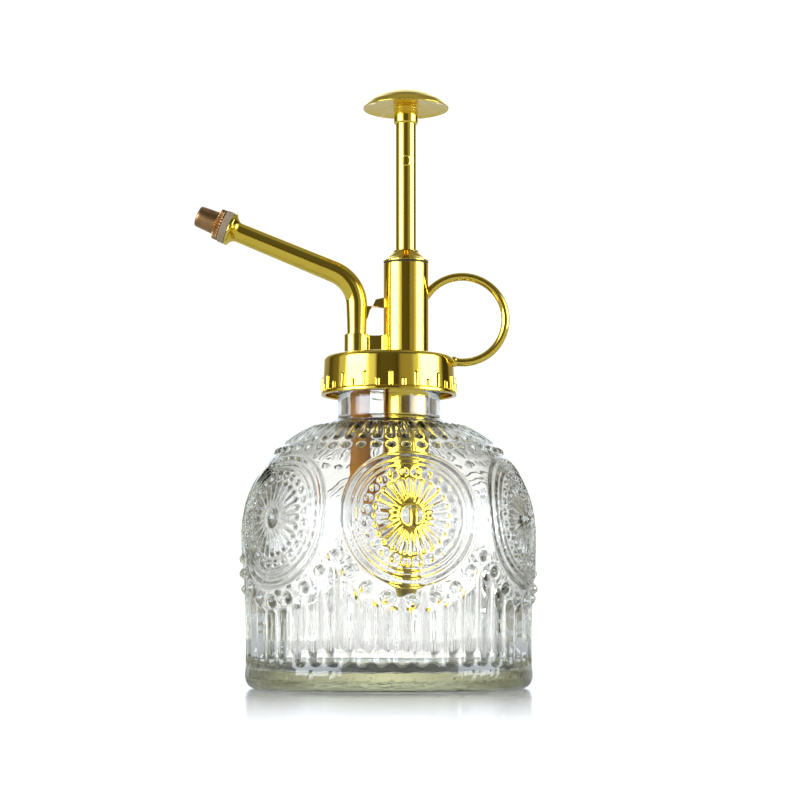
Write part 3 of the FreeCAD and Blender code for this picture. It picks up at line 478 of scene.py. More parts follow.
def inner_rows():
    """Rows of the inside, rim to floor."""
    rows = [(NECK_BORE + 0.35, RIM - 0.08), (NECK_BORE + 0.05, RIM - 0.45)]
    rows += [(NECK_BORE, height) for height in (RIM - 1.2, 80.0, 75.0, 70.5, 68.8)]
    inner_round = DOME_ROUNDING - WALL
    first = math.acos((NECK_BORE + 0.3 - DOME_X) / inner_round)
    for angle in np.linspace(first, 0.0, 26):
        rows.append((DOME_X + inner_round * math.cos(angle), EQUATOR + inner_round * math.sin(angle)))
    rows += [(side_radius(height) - WALL, height) for height in np.linspace(EQUATOR - 1.2, 13.0, 18)]
    corner = 4.0
    centre = side_radius(FLOOR_TOP + corner) - WALL - corner
    for angle in np.linspace(0.0, math.pi / 2, 9):
        rows.append((centre + corner * math.cos(angle), FLOOR_TOP + corner * (1 - math.sin(angle))))
    rows += [(radius, FLOOR_TOP - FLOOR_DISH * (1 - radius / centre))
             for radius in np.linspace(centre - corner, 4, 7)]
    return np.array(rows).T


def crown(distance):
    """Rounded bump: 1 in the middle, 0 from 1 outwards."""
    return np.clip(1 - distance ** 2, 0, 1)


def ramp(value, start, end):
    """Smooth step from 0 at start to 1 at end."""
    share = np.clip((value - start) / (end - start), 0, 1)
    return share * share * (3 - 2 * share)


def wrapped(angle, pitch):
    """Angle to the nearest of evenly spaced places."""
    return (angle + pitch / 2) % pitch - pitch / 2


def petal_relief(distance, bearing):
    """Ring of teardrop petals that widen outwards and end round."""
    inner, outer = 3.6, 9.0
    inner_half, outer_half = 0.34, 0.98
    across = distance * np.sin(wrapped(bearing, 2 * math.pi / PETALS))
    along = np.clip(distance, inner, outer)
    half = inner_half + (outer_half - inner_half) * (along - inner) / (outer - inner)
    return 0.62 * half / outer_half * crown(np.hypot(across, distance - along) / half)


def medallion_relief(sideways, up):
    """Button, petals, beads and three rings about one centre."""
    distance = np.hypot(sideways, up)
    bearing = np.arctan2(sideways, up)
    relief = 1.15 * crown(distance / 2.7)
    relief = np.maximum(relief, petal_relief(distance, bearing))
    bead_across = distance * np.sin(wrapped(bearing + math.pi / PETALS, 2 * math.pi / PETALS))
    relief = np.maximum(relief, 0.62 * crown(np.hypot(bead_across, distance - 11.6) / 1.1))
    for radius, half, height in ((13.5, 0.55, 0.45), (14.9, 0.55, 0.45), (17.0, 0.75, 0.5)):
        relief = np.maximum(relief, height * crown((distance - radius) / half))
    dish = 0.35 * ramp(distance, 12.8, 10.5) * ramp(distance, 2.0, 6.0)
    return relief - dish * (distance > 2.7)


def festoon_relief(sideways, up, radius):
    """Large beads on a circle under the medallion, and the one it shares with its neighbour."""
    relief = np.zeros_like(sideways)
    festoon, step = 21.2, math.radians(16.6)
    for place in range(-3, 4):
        bead_side = festoon * math.sin(place * step)
        bead_up = -festoon * math.cos(place * step)
        relief = np.maximum(relief, 1.2 * crown(np.hypot(sideways - bead_side, up - bead_up) / 1.6))
    shared = np.abs(sideways) - radius * MEDALLION_PITCH / 2
    return np.maximum(relief, 1.2 * crown(np.hypot(shared, up + 10.0) / 1.6))


def flute_relief(angle, radius, height, sideways, up):
    """Channels between upright pillars, from the base ring up to the beads."""
    across = radius * wrapped(angle - math.pi / FLUTES, 2 * math.pi / FLUTES)
    pillar = crown((np.abs(across) / 2.3) ** 0.9)
    top_end = ramp(np.hypot(sideways, up), 22.8, 24.6) * (up < 0)
    foot_end = ramp(height, 6.1, 7.6)
    return -1.05 * (1 - pillar) * top_end * foot_end


def shoulder_relief(angle, radius):
    """Rounded ribs that run down the shoulder, and a small bead under each."""
    across = radius * wrapped(angle, 2 * math.pi / SHOULDER_RIBS)
    inner, outer = 20.6, 26.9
    along = np.clip(radius, inner, outer)
    half = 0.9 * along / inner
    slant = 1.22
    relief = 0.55 * crown(np.hypot(across, (radius - along) * slant) / half)
    return np.maximum(relief, 0.75 * crown(np.hypot(across, (radius - 29.6) * 1.35) / 1.15))


def thread_relief(angle, height):
    """Right-handed screw thread on the neck."""
    pitch, start, turns = 4.2, 79.2, 1.25
    turn = angle / (2 * math.pi)
    relief = np.zeros_like(height)
    for whole in (0, 1):
        along = turn + whole
        ends = ramp(along, 0.0, 0.06) * ramp(along, turns, turns - 0.06)
        relief = np.maximum(relief, 1.1 * ends * crown((height - start - pitch * along) / 1.0))
    return relief


def outer_relief(angle, radius, height, up):
    """How far the outside stands proud of its smooth profile."""
    from_first = angle - math.radians(FIRST_MEDALLION_DEGREES)
    sideways = radius * wrapped(from_first, MEDALLION_PITCH)
    wall = (height > 5.5) & (height < 72)
    relief = medallion_relief(sideways, up) + festoon_relief(sideways, up, radius)
    relief += flute_relief(from_first, radius, height, sideways, up)
    relief = np.where(wall, relief, 0) + np.where(height > 58, shoulder_relief(from_first, radius), 0)
    relief += np.where(height > NECK_STEP + 0.5, thread_relief(angle, height), 0)
    speckle = 0.05 * np.sin(61 * angle + 2.1 * height) * np.sin(23 * angle - 3.3 * height)
    speckle += 0.03 * np.sin(127 * angle + 5.0 * height)
    relief += np.where((height > 0.3) & (height < 5.0) & (radius > 34), speckle, 0)
    bearing = (height < 0.01) & (radius > 29.7)
    return relief - np.where(bearing, 0.16 * (1 - np.cos(angle * STIPPLES)), 0)


def ripple(angle, height):
    """Slow unevenness of the inside, which no tool touched."""
    wave = 0.08 * np.sin(4 * angle + 0.11 * height) * np.sin(0.17 * height + 2 * angle)
    wave += 0.035 * np.sin(9 * angle - 0.2 * height + 1.3) * np.cos(0.31 * height - 3 * angle)
    return wave + 0.008 * np.sin(19 * angle + 0.5 * height) * np.sin(0.8 * height - 5 * angle + 0.4)


def ring_points(angle, radius, height):
    return np.column_stack([radius * np.sin(angle), -radius * np.cos(angle), height])


def inner_rings(angle):
    """The inside, rim to floor: a slowly rippled wall, and a floor with a fine unevenness."""
    rings = []
    for radius, height in zip(*inner_rows()):
        fade = ramp(radius, 12.0, 20.0) if height > 40 else ramp(radius, 2.0, 12.0)
        if height < FLOOR_TOP + 1.0:
            wave = 0.16 * np.sin(31 * angle + 0.5 * radius) * np.sin(0.9 * radius + 4 * angle) * fade
            rings.append(ring_points(angle, np.full(len(angle), radius), height + wave))
        else:
            wave = ripple(angle, height) * fade
            rings.append(ring_points(angle, radius + wave, np.full(len(angle), height)))
    rings.append([(0.0, 0.0, FLOOR_TOP - FLOOR_DISH)])
    return rings


def make_bottle():
    """One closed glass body: relief outside, rippled smooth wall inside."""
    angle = np.arange(COLUMNS) * 2 * math.pi / COLUMNS
    radii, heights, ups = outer_rows()
    slope = np.arctan2(np.gradient(heights), np.gradient(radii))
    rings = [[(0.0, 0.0, heights[0])]]
    for index in range(1, len(radii)):
        radius = np.full(COLUMNS, radii[index])
        height = np.full(COLUMNS, heights[index])
        proud = outer_relief(angle, radius, height, ups[index])
        rings.append(ring_points(
            angle,
            radius + proud * math.sin(slope[index]),
            height - proud * math.cos(slope[index]),
        ))
    points, faces = skin(rings)
    start = len(points)
    inner_points, inner_faces = skin(inner_rings(angle[::INNER_STEP]))
    points += inner_points
    faces += [tuple(start + corner for corner in face) for face in inner_faces]
    inner_columns = COLUMNS // INNER_STEP
    rim_start = start - COLUMNS
    for side in range(inner_columns):
        columns = [(INNER_STEP * side + offset) % COLUMNS for offset in range(INNER_STEP + 1)]
        rim = [rim_start + column for column in columns]
        faces.append((*rim, start + (side + 1) % inner_columns, start + side))
    add_piece("glass_bottle", [(points, faces)], MATERIALS["clear_glass"],
              "bottle", ["bottle"], sharp_degrees=75)


# ---------------------------------------------------------------- cap

CAP_EDGE, CAP_ROUNDING = 17.35, 1.4
SKIRT_FOOT = bottom("cap_shell")
SKIRT_RADIUS, SKIRT_BEAD, SKIRT_WALL = 17.75, 18.1, 0.85
CAP_RIBS = 32
FIRST_RIB_DEGREES = 1.9
LONG_RIB_TOP, SHORT_RIB_TOP = 82.0, 80.2
BARREL_RADIUS = 6.05
CAP_COLUMNS = 768


def cap_rib_relief(angle, height):
    """Upright ribs on the skirt, long and short by turns, with round tops."""
    pitch = 2 * math.pi / CAP_RIBS
    from_first = angle - math.radians(FIRST_RIB_DEGREES)
    across = SKIRT_RADIUS * wrapped(from_first, pitch)
    is_long = np.round(from_first / pitch) % 2 == 0
    rib_top = np.where(is_long, LONG_RIB_TOP, SHORT_RIB_TOP) - 0.5
    past = np.clip(height - rib_top, 0, None)
    return 0.42 * np.sqrt(crown(np.hypot(across, past) / 0.52))


def plate_rings(angle, height, reach):
    """Level rings from the hole round the barrel out towards a circle on the cap's axis."""
    hole = BARREL_RADIUS + 0.06
    rings = []
    for share in np.arange(0, 8) / 8:
        ring = ring_points(angle, np.full(len(angle), hole + (reach - hole) * share),
                           np.full(len(angle), height))
        rings.append(ring + [PUMP_X * (1 - share), 0, 0])
    return rings


def make_cap():
    """Cap shell: rounded edge, ribbed skirt over a beaded rim, lug, spout collar and bridge."""
    outline = rounded([
        (0.0, CAP_TOP, 0),
        (CAP_EDGE, CAP_TOP, CAP_ROUNDING),
        (SKIRT_RADIUS, SKIRT_FOOT + 1.1, 0.35),
        (SKIRT_BEAD, SKIRT_FOOT + 0.9, 0.25),
        (SKIRT_BEAD, SKIRT_FOOT, 0.3),
        (SKIRT_RADIUS - SKIRT_WALL, SKIRT_FOOT, 0.2),
        (CAP_EDGE - SKIRT_WALL, CAP_TOP - CAP_PLATE, 0.8),
        (0.0, CAP_TOP - CAP_PLATE, 0),
    ])[1:-1]
    angle = np.arange(CAP_COLUMNS) * 2 * math.pi / CAP_COLUMNS
    rings = plate_rings(angle, CAP_TOP, outline[0][0])
    rib_heights = list(np.arange(SKIRT_FOOT + 1.2, LONG_RIB_TOP + 0.6, 0.16))[::-1]
    for index, (radius, height) in enumerate(outline):
        rings.append(ring_points(angle, np.full(CAP_COLUMNS, radius), np.full(CAP_COLUMNS, height)))
        is_flank = index + 1 < len(outline) and height > LONG_RIB_TOP + 1 > outline[index + 1][1]
        if is_flank:
            foot_radius, foot_height = outline[index + 1]
            for level in rib_heights:
                share = (height - level) / (height - foot_height)
                bare = radius + (foot_radius - radius) * share
                relief = cap_rib_relief(angle, np.full(CAP_COLUMNS, level))
                rings.append(ring_points(angle, bare + relief, np.full(CAP_COLUMNS, level)))
    rings += plate_rings(angle, CAP_TOP - CAP_PLATE, outline[-1][0])[::-1]
    collar = turned([
        (2.4, CAP_TOP - 0.6, 0), (3.3, CAP_TOP - 0.6, 0), (3.3, 93.6, 0.5), (2.85, 93.6, 0.08),
        (2.85, 92.9, 0), (2.4, 92.9, 0),
    ], CORNER.x, 96, loop=True)
    flare = turned([
        (2.5, CAP_TOP - 0.5, 0), (3.9, CAP_TOP - 0.05, 0), (3.35, CAP_TOP + 0.25, 0.3),
        (3.2, CAP_TOP + 1.2, 0), (2.5, CAP_TOP + 1.2, 0),
    ], CORNER.x, 96, loop=True)
    left, right = CORNER.x + 1.6, PUMP_X - 5.0
    bridge_plan = rounded([
        (left, -3.1, 0), (left + 1.15, -2.5, 0.3), (left + 1.7, -1.75, 0.9), (right - 1.2, -1.75, 0.9),
        (right - 0.3, -3.0, 0), (right, -3.6, 0), (right, 3.6, 0), (right - 0.3, 3.0, 0),
        (right - 1.2, 1.75, 0.9), (left + 1.7, 1.75, 0.9), (left + 1.15, 2.5, 0.3), (left, 3.1, 0),
    ], 5)
    bridge = slab(bridge_plan, [(CAP_TOP - 0.5, 0.0), (92.85, 0.0), (93.1, 0.08), (93.2, 0.25)])
    lug_side = smooth_loop([
        (14.4, 87.5), (16.4, 87.7), (17.8, 87.6), (18.4, 86.7), (18.2, 85.5), (17.4, 84.8), (15.6, 85.8),
    ], 6)
    lug = slab(lug_side, [(-1.25, 0.75), (-1.05, 0.35), (-0.65, 0.08), (0.0, 0.0), (0.65, 0.08),
                          (1.05, 0.35), (1.25, 0.75)], axes="xzy")
    add_piece("cap", [skin(rings, loop=True), collar, flare, bridge, lug], MATERIALS["gold_plate"],
              "head", ["cap_shell"])


# ---------------------------------------------------------------- pump

BARREL_FOOT, BARREL_TOP = bottom("pump_barrel"), bottom("gland_washer")
BARREL_BORE, FLANGE_RADIUS = 5.1, 6.4
GLAND_TOP, GLAND_BORE = top("gland_nut"), 2.86
ROD_RADIUS = 2.71
GATE_HEIGHT, GATE_HALF_WIDTH, GATE_HALF_HEIGHT, GATE_ROOT = 140.4, 1.35, 1.6, 2.2


def make_barrel():
    """Barrel tube with its flange under the cap and the tab that braces the spout."""
    flange = CAP_TOP - CAP_PLATE - 0.02
    tube_shape = turned([
        (BARREL_BORE, BARREL_FOOT, 0), (BARREL_RADIUS, BARREL_FOOT, 0.2),
        (BARREL_RADIUS, flange - 1.4, 0.2), (FLANGE_RADIUS, flange - 1.4, 0.15),
        (FLANGE_RADIUS, flange, 0), (BARREL_RADIUS, flange, 0),
        (BARREL_RADIUS, BARREL_TOP, 0.28), (BARREL_BORE, BARREL_TOP, 0),
    ], PUMP_X, loop=True)
    root = PUMP_X - BARREL_RADIUS + 0.6
    tab_side = [(root, 100.6), (-3.4, 101.0), (-4.37, 101.1), (-3.55, 103.0), (root, 103.6)]
    tab = slab(tab_side, [(-0.9, 0.2), (-0.75, 0.0), (0.75, 0.0), (0.9, 0.2)], axes="xzy")
    add_piece("barrel", [tube_shape, tab], MATERIALS["gold_plate"], "head", ["pump_barrel"])


def make_gland():
    """Nut that closes the barrel round the rod, stepped in three rounds."""
    gland = turned([
        (GLAND_BORE, 104.3, 0), (5.05, 104.3, 0.2), (5.05, 112.9, 0), (5.3, 113.02, 0), (6.1, 113.02, 0.12),
        (6.1, 113.4, 0.15), (4.9, 114.25, 0.25), (4.75, 114.5, 0.2), (3.5, 115.7, 0.4),
        (3.35, GLAND_TOP, 0.25), (2.95, GLAND_TOP, 0.1), (GLAND_BORE, GLAND_TOP - 0.25, 0),
    ], PUMP_X, loop=True)
    add_piece("gland", [gland], MATERIALS["gold_plate"], "head", ["gland_nut"])


def make_rod():
    """Plunger rod with the small oval left by its moulding gate."""
    rod_top, rod_foot = top("plunger_rod"), bottom("plunger_rod")
    rod = turned([
        (0.0, rod_foot, 0), (ROD_RADIUS, rod_foot, 0.3), (ROD_RADIUS, rod_top, 0.1), (0.0, rod_top, 0),
    ], PUMP_X, 96)
    rings = []
    for share, lift in ((1.0, -0.12), (0.97, 0.04), (0.82, 0.1), (0.68, 0.0), (0.5, -0.04), (0.0, -0.04)):
        ring = []
        for step in range(32 if share else 1):
            turn = 2 * math.pi * step / 32
            across = GATE_HALF_WIDTH * share * math.cos(turn)
            depth = math.sqrt(ROD_RADIUS ** 2 - across ** 2) + lift
            ring.append((PUMP_X + across, -depth, GATE_HEIGHT + GATE_HALF_HEIGHT * share * math.sin(turn)))
        rings.append(ring)
    gate = skin([[(PUMP_X, -GATE_ROOT, GATE_HEIGHT)], *rings])
    add_piece("rod", [rod, gate], MATERIALS["gold_plate"], "plunger", ["plunger_rod"])


def make_knob():
    """Push knob: flat top, sloped flank to a thin rim, hollow underside and a boss."""
    peak, foot = top("push_knob"), bottom("push_knob")
    dome = [(radius, peak - 0.62 * (radius / 5.0) ** 2, 0) for radius in (0.0, 1.3, 2.6, 3.9)]
    knob = turned(dome + [
        (5.2, peak - 0.72, 0.4), (6.4, peak - 1.2, 2.0), (7.7, peak - 1.75, 2.0), (9.0, peak - 2.45, 2.0),
        (10.3, peak - 3.4, 2.0), (11.3, peak - 4.5, 0.5), (11.6, peak - 4.9, 0.15), (11.45, peak - 5.1, 0.12),
        (9.6, peak - 4.75, 1.5), (4.6, peak - 4.5, 0.8), (3.3, peak - 4.9, 0.4),
        (3.25, foot + 0.35, 0.1), (3.0, foot, 0.12), (0.0, foot, 0),
    ], PUMP_X, 160)
    line = turned([
        (3.1, foot + 3.3, 0), (3.42, foot + 3.35, 0.1), (3.42, foot + 3.75, 0.1), (3.1, foot + 3.8, 0),
    ], PUMP_X, 96, loop=True)
    add_piece("knob", [knob, line], MATERIALS["gold_plate"], "plunger", ["push_knob"])


def make_spring():
    """Return spring in the barrel."""
    foot, peak = bottom("return_spring"), top("return_spring")
    turns, radius, wire = 14, 4.2, 0.4
    per_turn = 28
    count = turns * per_turn
    rings = []
    for step in range(count + 1):
        share = step / count
        angle = 2 * math.pi * turns * share
        height = foot + wire + (peak - foot - 2 * wire) * share
        out = Vector((math.sin(angle), -math.cos(angle), 0))
        centre = Vector((PUMP_X, 0, height)) + radius * out
        ring = []
        for side in range(10):
            turn = 2 * math.pi * side / 10
            ring.append(centre + wire * (math.cos(turn) * out + math.sin(turn) * Vector((0, 0, 1))))
        rings.append(ring)
    ends = [sum(rings[at], Vector()) / 10 for at in (0, -1)]
    spring = add_piece("spring", [skin([[ends[0]], *rings, [ends[1]]])], MATERIALS["steel"],
                       "head", ["return_spring"])
    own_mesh(spring)


# ---------------------------------------------------------------- outlet and spout

def make_delivery():
    """Delivery tube that hangs beside the barrel."""
    foot, peak = bottom("delivery_tube"), top("delivery_tube")
    pipe = turned([(1.8, foot, 0), (2.75, foot, 0.2), (2.75, peak, 0.2), (1.8, peak, 0)],
                  DELIVERY_X, 64, loop=True)
    add_piece("delivery", [pipe], MATERIALS["brown_plastic"], "head", ["delivery_tube"])


def make_spout():
    """Spout tube: upright, one bend, a slightly tapered arm, a flared rim and the brace fin."""
    turn = ARM.angle(Vector((0, 0, 1)))
    bend = 10.0
    reach = bend * math.tan(turn / 2)
    bend_foot = CORNER.z - reach
    path, radii = [], []
    for height, radius in ((bottom("spout_tube"), 2.5), (94.6, 2.55), (97.0, 2.62), (99.5, 2.72)):
        path.append((CORNER.x, 0, height))
        radii.append(radius)
    for step in range(33):
        angle = turn * step / 32
        path.append((CORNER.x - bend * (1 - math.cos(angle)), 0, bend_foot + bend * math.sin(angle)))
        radii.append(2.8 + 0.1 * step / 32)
    for step in range(1, 13):
        share = step / 12
        path.append(CORNER + ARM * (reach + (34.2 - reach) * share))
        radii.append(2.9 - 0.27 * share)
    for step in range(1, 13):
        share = step / 12
        path.append(CORNER + ARM * (34.2 + 2.0 * share))
        radii.append(2.63 + 1.75 * share ** 2.4)
    rim = ((36.3, 4.46), (36.45, 4.5), (36.8, 4.5), (36.95, 4.44), (37.0, 4.3))
    for along, radius in rim:
        path.append(CORNER + ARM * along)
        radii.append(radius)
    fin_side = [(CORNER.x + 2.0, 97.2), (CORNER.x + 2.9, 98.0), (-5.1, 100.0), (-4.4, 101.2),
                (-5.8, 101.25), (CORNER.x + 2.0, 101.25)]
    fin = slab(fin_side, [(-0.7, 0.18), (-0.55, 0.0), (0.55, 0.0), (0.7, 0.18)], axes="xzy")
    add_piece("spout", [tube(path, radii, 72), fin], MATERIALS["gold_plate"],
              "head", ["spout_tube"])


def make_nozzle_seal():
    """Soft washer between the spout's rim and the nozzle's flange."""
    washer = turned([(2.1, 37.03, 0), (4.4, 37.03, 0.22), (4.4, 39.05, 0.3), (2.1, 39.05, 0)],
                    0, 96, loop=True)
    add_piece("nozzle_seal_ring", [placed(washer, arm_matrix())], MATERIALS["beige_seal"],
              "nozzle_seal", ["nozzle_washer"])


def make_nozzle():
    """Spray nozzle: knurled flange, smooth shank and a dished end round the orifice."""
    teeth, per_tooth = 30, 8
    columns = teeth * per_tooth
    angle = np.arange(columns) * 2 * math.pi / columns
    groove = 0.5 - 0.5 * np.cos(angle * teeth)
    rings = [[(0, 0, 31.5)]]
    stem = [(1.93, 31.5), (1.93, 39.1), (2.1, 39.12), (3.95, 39.12)]
    flange = [(4.12, 39.2, 0.0), (4.2, 39.35, 0.25), (4.2, 39.7, 1.0), (4.2, 40.45, 1.0),
              (4.08, 40.68, 1.0), (3.8, 40.8, 0.6)]
    shank = [(3.25, 40.86), (3.12, 41.0), (3.08, 41.5), (2.98, 43.5), (2.86, 45.5), (2.8, 45.85),
             (2.68, 46.13), (2.45, 46.27), (2.2, 46.3), (1.5, 46.22), (0.9, 45.9), (0.4, 45.6),
             (0.35, 45.4), (0.33, 44.8)]
    for radius, along, *knurl in [*stem, *flange, *shank]:
        cut = 0.6 * sum(knurl) * groove ** 1.2
        rings.append(ring_points(angle, radius - cut, np.full(columns, along)))
    rings.append([(0, 0, 44.8)])
    add_piece("spray_nozzle", [placed(skin(rings), arm_matrix())], MATERIALS["copper_brass"],
              "nozzle", ["nozzle"])


def make_finger_ring():
    """Finger ring: a round rod from the barrel's side round to the lug on the cap's edge."""
    centre = Vector((19.6, 0, 97.65))
    loop, rod = 11.55, 1.09
    start, finish = math.radians(136.0), math.radians(-101.0)
    count = 140
    leave = centre + loop * Vector((math.cos(start), 0, math.sin(start)))
    straight = Vector((-math.sin(start), 0, math.cos(start)))
    path, radii = [], []
    for step in range(6, 0, -1):
        path.append(leave + straight * 0.45 * step)
        radii.append(rod + 0.05 * step)
    for step in range(count + 1):
        angle = start + (finish - start) * step / count
        path.append(centre + loop * Vector((math.cos(angle), 0, math.sin(angle))))
        from_end = loop * (start - finish) * (1 - step / count)
        radii.append(rod + 0.15 * math.exp(-(from_end / 0.8) ** 2))
    add_piece("ring_handle", [tube(path, radii, 40)], MATERIALS["gold_plate"],
              "head", ["finger_ring"])


# ---------------------------------------------------------------- studio

EYE_DISTANCE, EYE_HEIGHT, EYE_SIDE = 560.0, 19.0, 2.95
EYE_PITCH_DEGREES = 5.815
EYE_LENS = 95.13

# Brightness of the studio by bearing, in degrees from the camera's side towards +X
STUDIO = [
    (-180, 1.15), (-164, 1.15), (-152, 0.34), (-131, 0.28), (-127, 0.08), (-118, 0.08), (-114, 0.15),
    (-99, 0.18), (-95, 0.6), (-81, 0.65), (-77, 8.0), (-41, 8.0), (-37, 0.95), (-25, 0.8), (-20, 0.05),
    (-13, 0.1), (10, 0.09), (16, 0.05), (21, 0.3), (41, 0.34), (45, 0.65), (54, 0.85), (58, 7.4),
    (94, 7.4), (98, 0.7), (105, 0.35), (109, 0.04), (126, 0.05), (132, 0.3), (150, 0.34), (164, 1.15),
    (180, 1.15),
]
STUDIO_SCALE = 8.0
BACKDROP = 1.05

# Tints of the dim and of the bright parts of the studio
DIM_TINT, BRIGHT_TINT = (1.08, 0.93, 0.65), (0.98, 1.06, 1.18)

# Brightness overhead by angle, in degrees from the camera's side over to the back
CEILING = [
    (0, 0.10), (26, 0.10), (30, 0.15), (35, 0.09), (45, 0.09), (49, 0.14), (54, 0.09), (66, 0.10),
    (79, 0.30), (100, 0.34), (112, 0.24), (180, 0.24),
]

# The same for light that has come through the glass: a white field behind, grey cards at the sides
BRIGHT_FIELD = [
    (-180, 1.3), (-175, 1.15), (-168, 0.86), (-154, 0.6), (-140, 0.4), (-125, 0.18), (-100, 0.08),
    (-72, 0.12), (-60, 0.5), (-48, 0.14), (0, 0.10), (48, 0.12), (60, 0.45), (72, 0.10), (100, 0.07),
    (125, 0.15), (140, 0.38), (154, 0.58), (168, 0.84), (175, 1.15), (180, 1.3),
]


def make_camera():
    """The photograph's camera: low, a little to +X, and tilted up."""
    camera = bpy.data.objects.new("camera", bpy.data.cameras.new("camera"))
    camera.data.lens = EYE_LENS
    camera.data.clip_start = 0.01
    camera.data.clip_end = 50.0
    camera.location = (EYE_SIDE * MM, -EYE_DISTANCE * MM, EYE_HEIGHT * MM)
    camera.rotation_euler = (math.radians(90 + EYE_PITCH_DEGREES), 0, 0)
    bpy.context.scene.collection.objects.link(camera)
    bpy.context.scene.camera = camera


def studio_colour(level):
    """A level of the studio, warm where it is dim and cool where it is bright."""
    share = min(max((level - 0.1) / 0.6, 0), 1)
    tint = (dim + (bright - dim) * share for dim, bright in zip(DIM_TINT, BRIGHT_TINT))
    return [level / STUDIO_SCALE * channel for channel in tint]


def stepped(tree, value, colours):
    """Colour that follows a value through (position, colour) stops."""
    ramp_node = add_node(tree, "ValToRGB", {"Fac": value})
    stops = ramp_node.color_ramp.elements
    while len(stops) < len(colours):
        stops.new(0.5)
    for stop, (position, colour) in zip(stops, colours):
        stop.position = position
        stop.color = (*colour, 1)
    return ramp_node.outputs["Color"]


def greys(levels, scale=1.0):
    """Grey stops from (position, level) pairs."""
    return [(position, [level / scale] * 3) for position, level in levels]


def by_bearing(levels):
    """Stops for a full turn from pairs that start with degrees."""
    return [((degrees + 180) / 360, level) for degrees, level in levels]


def mixed(tree, share, first, second):
    """A shader between two, by a share from 0 to 1."""
    return add_node(tree, "MixShader", {0: share, 1: first, 2: second}).outputs[0]


def product(tree, first, second):
    return add_node(tree, "Math", {0: first, 1: second}, operation="MULTIPLY").outputs[0]


def glow(tree, colour, strength):
    """Light of the world behind everything."""
    return add_node(tree, "Background", {"Color": colour, "Strength": strength}).outputs[0]


def seen_through(tree):
    """1 for light that has only passed through glass on its way to the eye, and met nothing else."""
    path = add_node(tree, "LightPath").outputs
    turns = add_node(tree, "Math", {0: path["Glossy Depth"], 1: path["Diffuse Depth"]}).outputs[0]
    straight = add_node(tree, "Math", {0: turns, 1: 0.5}, operation="LESS_THAN").outputs[0]
    return product(tree, path["Is Transmission Ray"], straight)


def make_studio():
    """Plain white studio: soft boxes and grey cards round the object, white wherever the camera looks."""
    world = bpy.data.worlds.new("studio")
    bpy.context.scene.world = world
    world.use_nodes = True
    tree = world.node_tree
    output = tree.nodes["World Output"]
    direction = add_node(tree, "TexCoord").outputs["Generated"]
    parts = add_node(tree, "SeparateXYZ", {"Vector": direction}).outputs
    away = product(tree, parts["Y"], -1.0)
    bearing = add_node(tree, "Math", {0: parts["X"], 1: away}, operation="ARCTAN2").outputs[0]
    share = ranged(tree, bearing, 0.0, 1.0, -math.pi, math.pi)
    bands = [(position, studio_colour(level)) for position, level in by_bearing(STUDIO)]
    around = glow(tree, stepped(tree, share, bands), STUDIO_SCALE)
    forwards = add_node(tree, "Math", {0: parts["Z"], 1: away}, operation="ARCTAN2").outputs[0]
    across = ranged(tree, forwards, 0.0, 1.0, 0.0, math.pi)
    strips = stepped(tree, across, greys((degrees / 180, level) for degrees, level in CEILING))
    ceiling = glow(tree, strips, 1.0)
    behind = add_node(tree, "Math", {0: parts["Y"], 1: 0.0}, operation="MAXIMUM").outputs[0]
    height = add_node(tree, "Math", {0: behind, 1: -0.4, 2: parts["Z"]}, operation="MULTIPLY_ADD").outputs[0]
    light = mixed(tree, ranged(tree, height, 0.0, 1.0, 0.3, 0.6), around, ceiling)
    field = stepped(tree, share, greys(by_bearing(BRIGHT_FIELD), STUDIO_SCALE))
    light = mixed(tree, seen_through(tree), light, glow(tree, field, STUDIO_SCALE))
    seen = add_node(tree, "LightPath").outputs["Is Camera Ray"]
    both = mixed(tree, seen, light, glow(tree, (1, 1, 1, 1), BACKDROP))
    tree.links.new(both, output.inputs["Surface"])


FLOOR_RADIUS = 3.0  # in metres
FLOOR_GAP = 0.02
PER_DECIMETRE = 10.0  # turns metres into the decimetres of the two tables below

# Brightness of the floor in reflections, by distance from the bottle's axis in decimetres: a painted shadow
# ring round the bottle's foot
FLOOR_SHADE = [(0.0, 0.8), (0.22, 0.8), (0.27, 0.5), (0.42, 0.5), (0.55, 0.8), (1.0, 0.8)]

# Brightness of the floor as the glass shows it, by distance to either side in decimetres, with painted shadow
# strips beside the bottle
FLOOR_LIGHT = [(0.0, 1.0), (0.28, 1.0), (0.40, 0.15), (0.62, 0.2), (0.9, 0.7), (1.0, 0.7)]


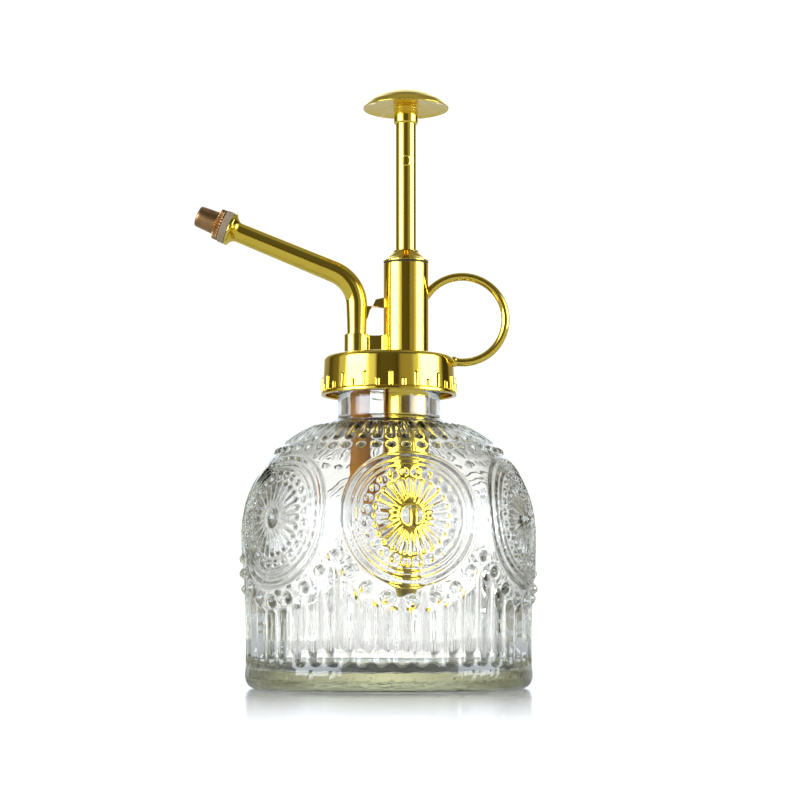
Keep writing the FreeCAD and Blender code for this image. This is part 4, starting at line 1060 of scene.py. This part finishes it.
def floor_finish():
    """White table that mirrors a little at a low angle, and that the glass shows in greys with a painted
    shadow under and beside the bottle; in metres.
    """
    material = bpy.data.materials.new("floor")
    material.use_nodes = True
    tree = material.node_tree
    base = tree.nodes["Principled BSDF"]
    base.inputs["Base Color"].default_value = (0.93, 0.93, 0.93, 1)
    base.inputs["Roughness"].default_value = 0.9
    base.inputs["Specular IOR Level"].default_value = 0.0
    base.inputs["Emission Color"].default_value = (1, 1, 1, 1)
    base.inputs["Emission Strength"].default_value = 0.65
    shine = add_node(tree, "BsdfGlossy", {"Color": (0.95, 0.95, 0.95, 1), "Roughness": 0.12})
    place = add_node(tree, "TexCoord").outputs["Object"]
    away = add_node(tree, "VectorMath", {0: place}, operation="LENGTH").outputs["Value"]
    facing = add_node(tree, "LayerWeight").outputs["Facing"]
    low_angle = ranged(tree, facing, 0.0, 1.0, 0.885, 0.915)
    polish = product(tree, ranged(tree, away, 0.9, 0.0, 0.036, 0.24), low_angle)
    bright = mixed(tree, polish, base.outputs[0], shine.outputs[0])
    # Painted shadow ring round the bottle's foot, as reflections show the floor.
    shades = stepped(tree, product(tree, away, PER_DECIMETRE), greys(FLOOR_SHADE))
    dim = add_node(tree, "BsdfDiffuse", {"Color": shades}).outputs[0]
    # Painted shadow under the bottle, as the glass shows the floor; it is paler in the middle.
    centre = ranged(tree, away, 4.0, 1.0, 0.020, 0.026)
    shade = add_node(tree, "Emission", {"Color": (0.12, 0.12, 0.07, 1), "Strength": centre}).outputs[0]
    sideways = add_node(tree, "SeparateXYZ", {"Vector": place}).outputs["X"]
    aside = add_node(tree, "Math", {0: sideways}, operation="ABSOLUTE").outputs[0]
    # Painted shadow strips on the floor to either side of the bottle, as the glass shows it.
    fall = stepped(tree, product(tree, aside, PER_DECIMETRE), greys(FLOOR_LIGHT))
    lit = add_node(tree, "Emission", {"Color": fall, "Strength": 1.25}).outputs[0]
    below = mixed(tree, ranged(tree, away, 0.0, 1.0, 0.033, 0.042), shade, lit)
    seen = add_node(tree, "LightPath").outputs["Is Camera Ray"]
    both = mixed(tree, seen, mixed(tree, seen_through(tree), dim, below), bright)
    tree.links.new(both, tree.nodes["Material Output"].inputs["Surface"])
    return material


def make_floor():
    """Pale, faintly glossy table."""
    mesh = bpy.data.meshes.new("floor")
    angles = [2 * math.pi * step / 64 for step in range(64)]
    edge = [(FLOOR_RADIUS * math.cos(angle), FLOOR_RADIUS * math.sin(angle), 0.0) for angle in angles]
    mesh.from_pydata(edge, [], [range(64)])
    mesh.materials.append(floor_finish())
    floor = bpy.data.objects.new("floor", mesh)
    bpy.context.scene.collection.objects.link(floor)
    floor.location.z = (bottom("bottle") - FLOOR_GAP) * MM


# ---------------------------------------------------------------- the scene

make_camera()
make_studio()
make_floor()
dress_cad_nodes()
make_bottle()
make_cap()
make_barrel()
make_gland()
make_rod()
make_knob()
make_spring()
make_delivery()
make_spout()
make_nozzle_seal()
make_nozzle()
make_finger_ring()

scene = bpy.context.scene
scene.view_settings.view_transform = "Standard"
scene.cycles.max_bounces = 20
scene.cycles.transmission_bounces = 20
scene.cycles.glossy_bounces = 8
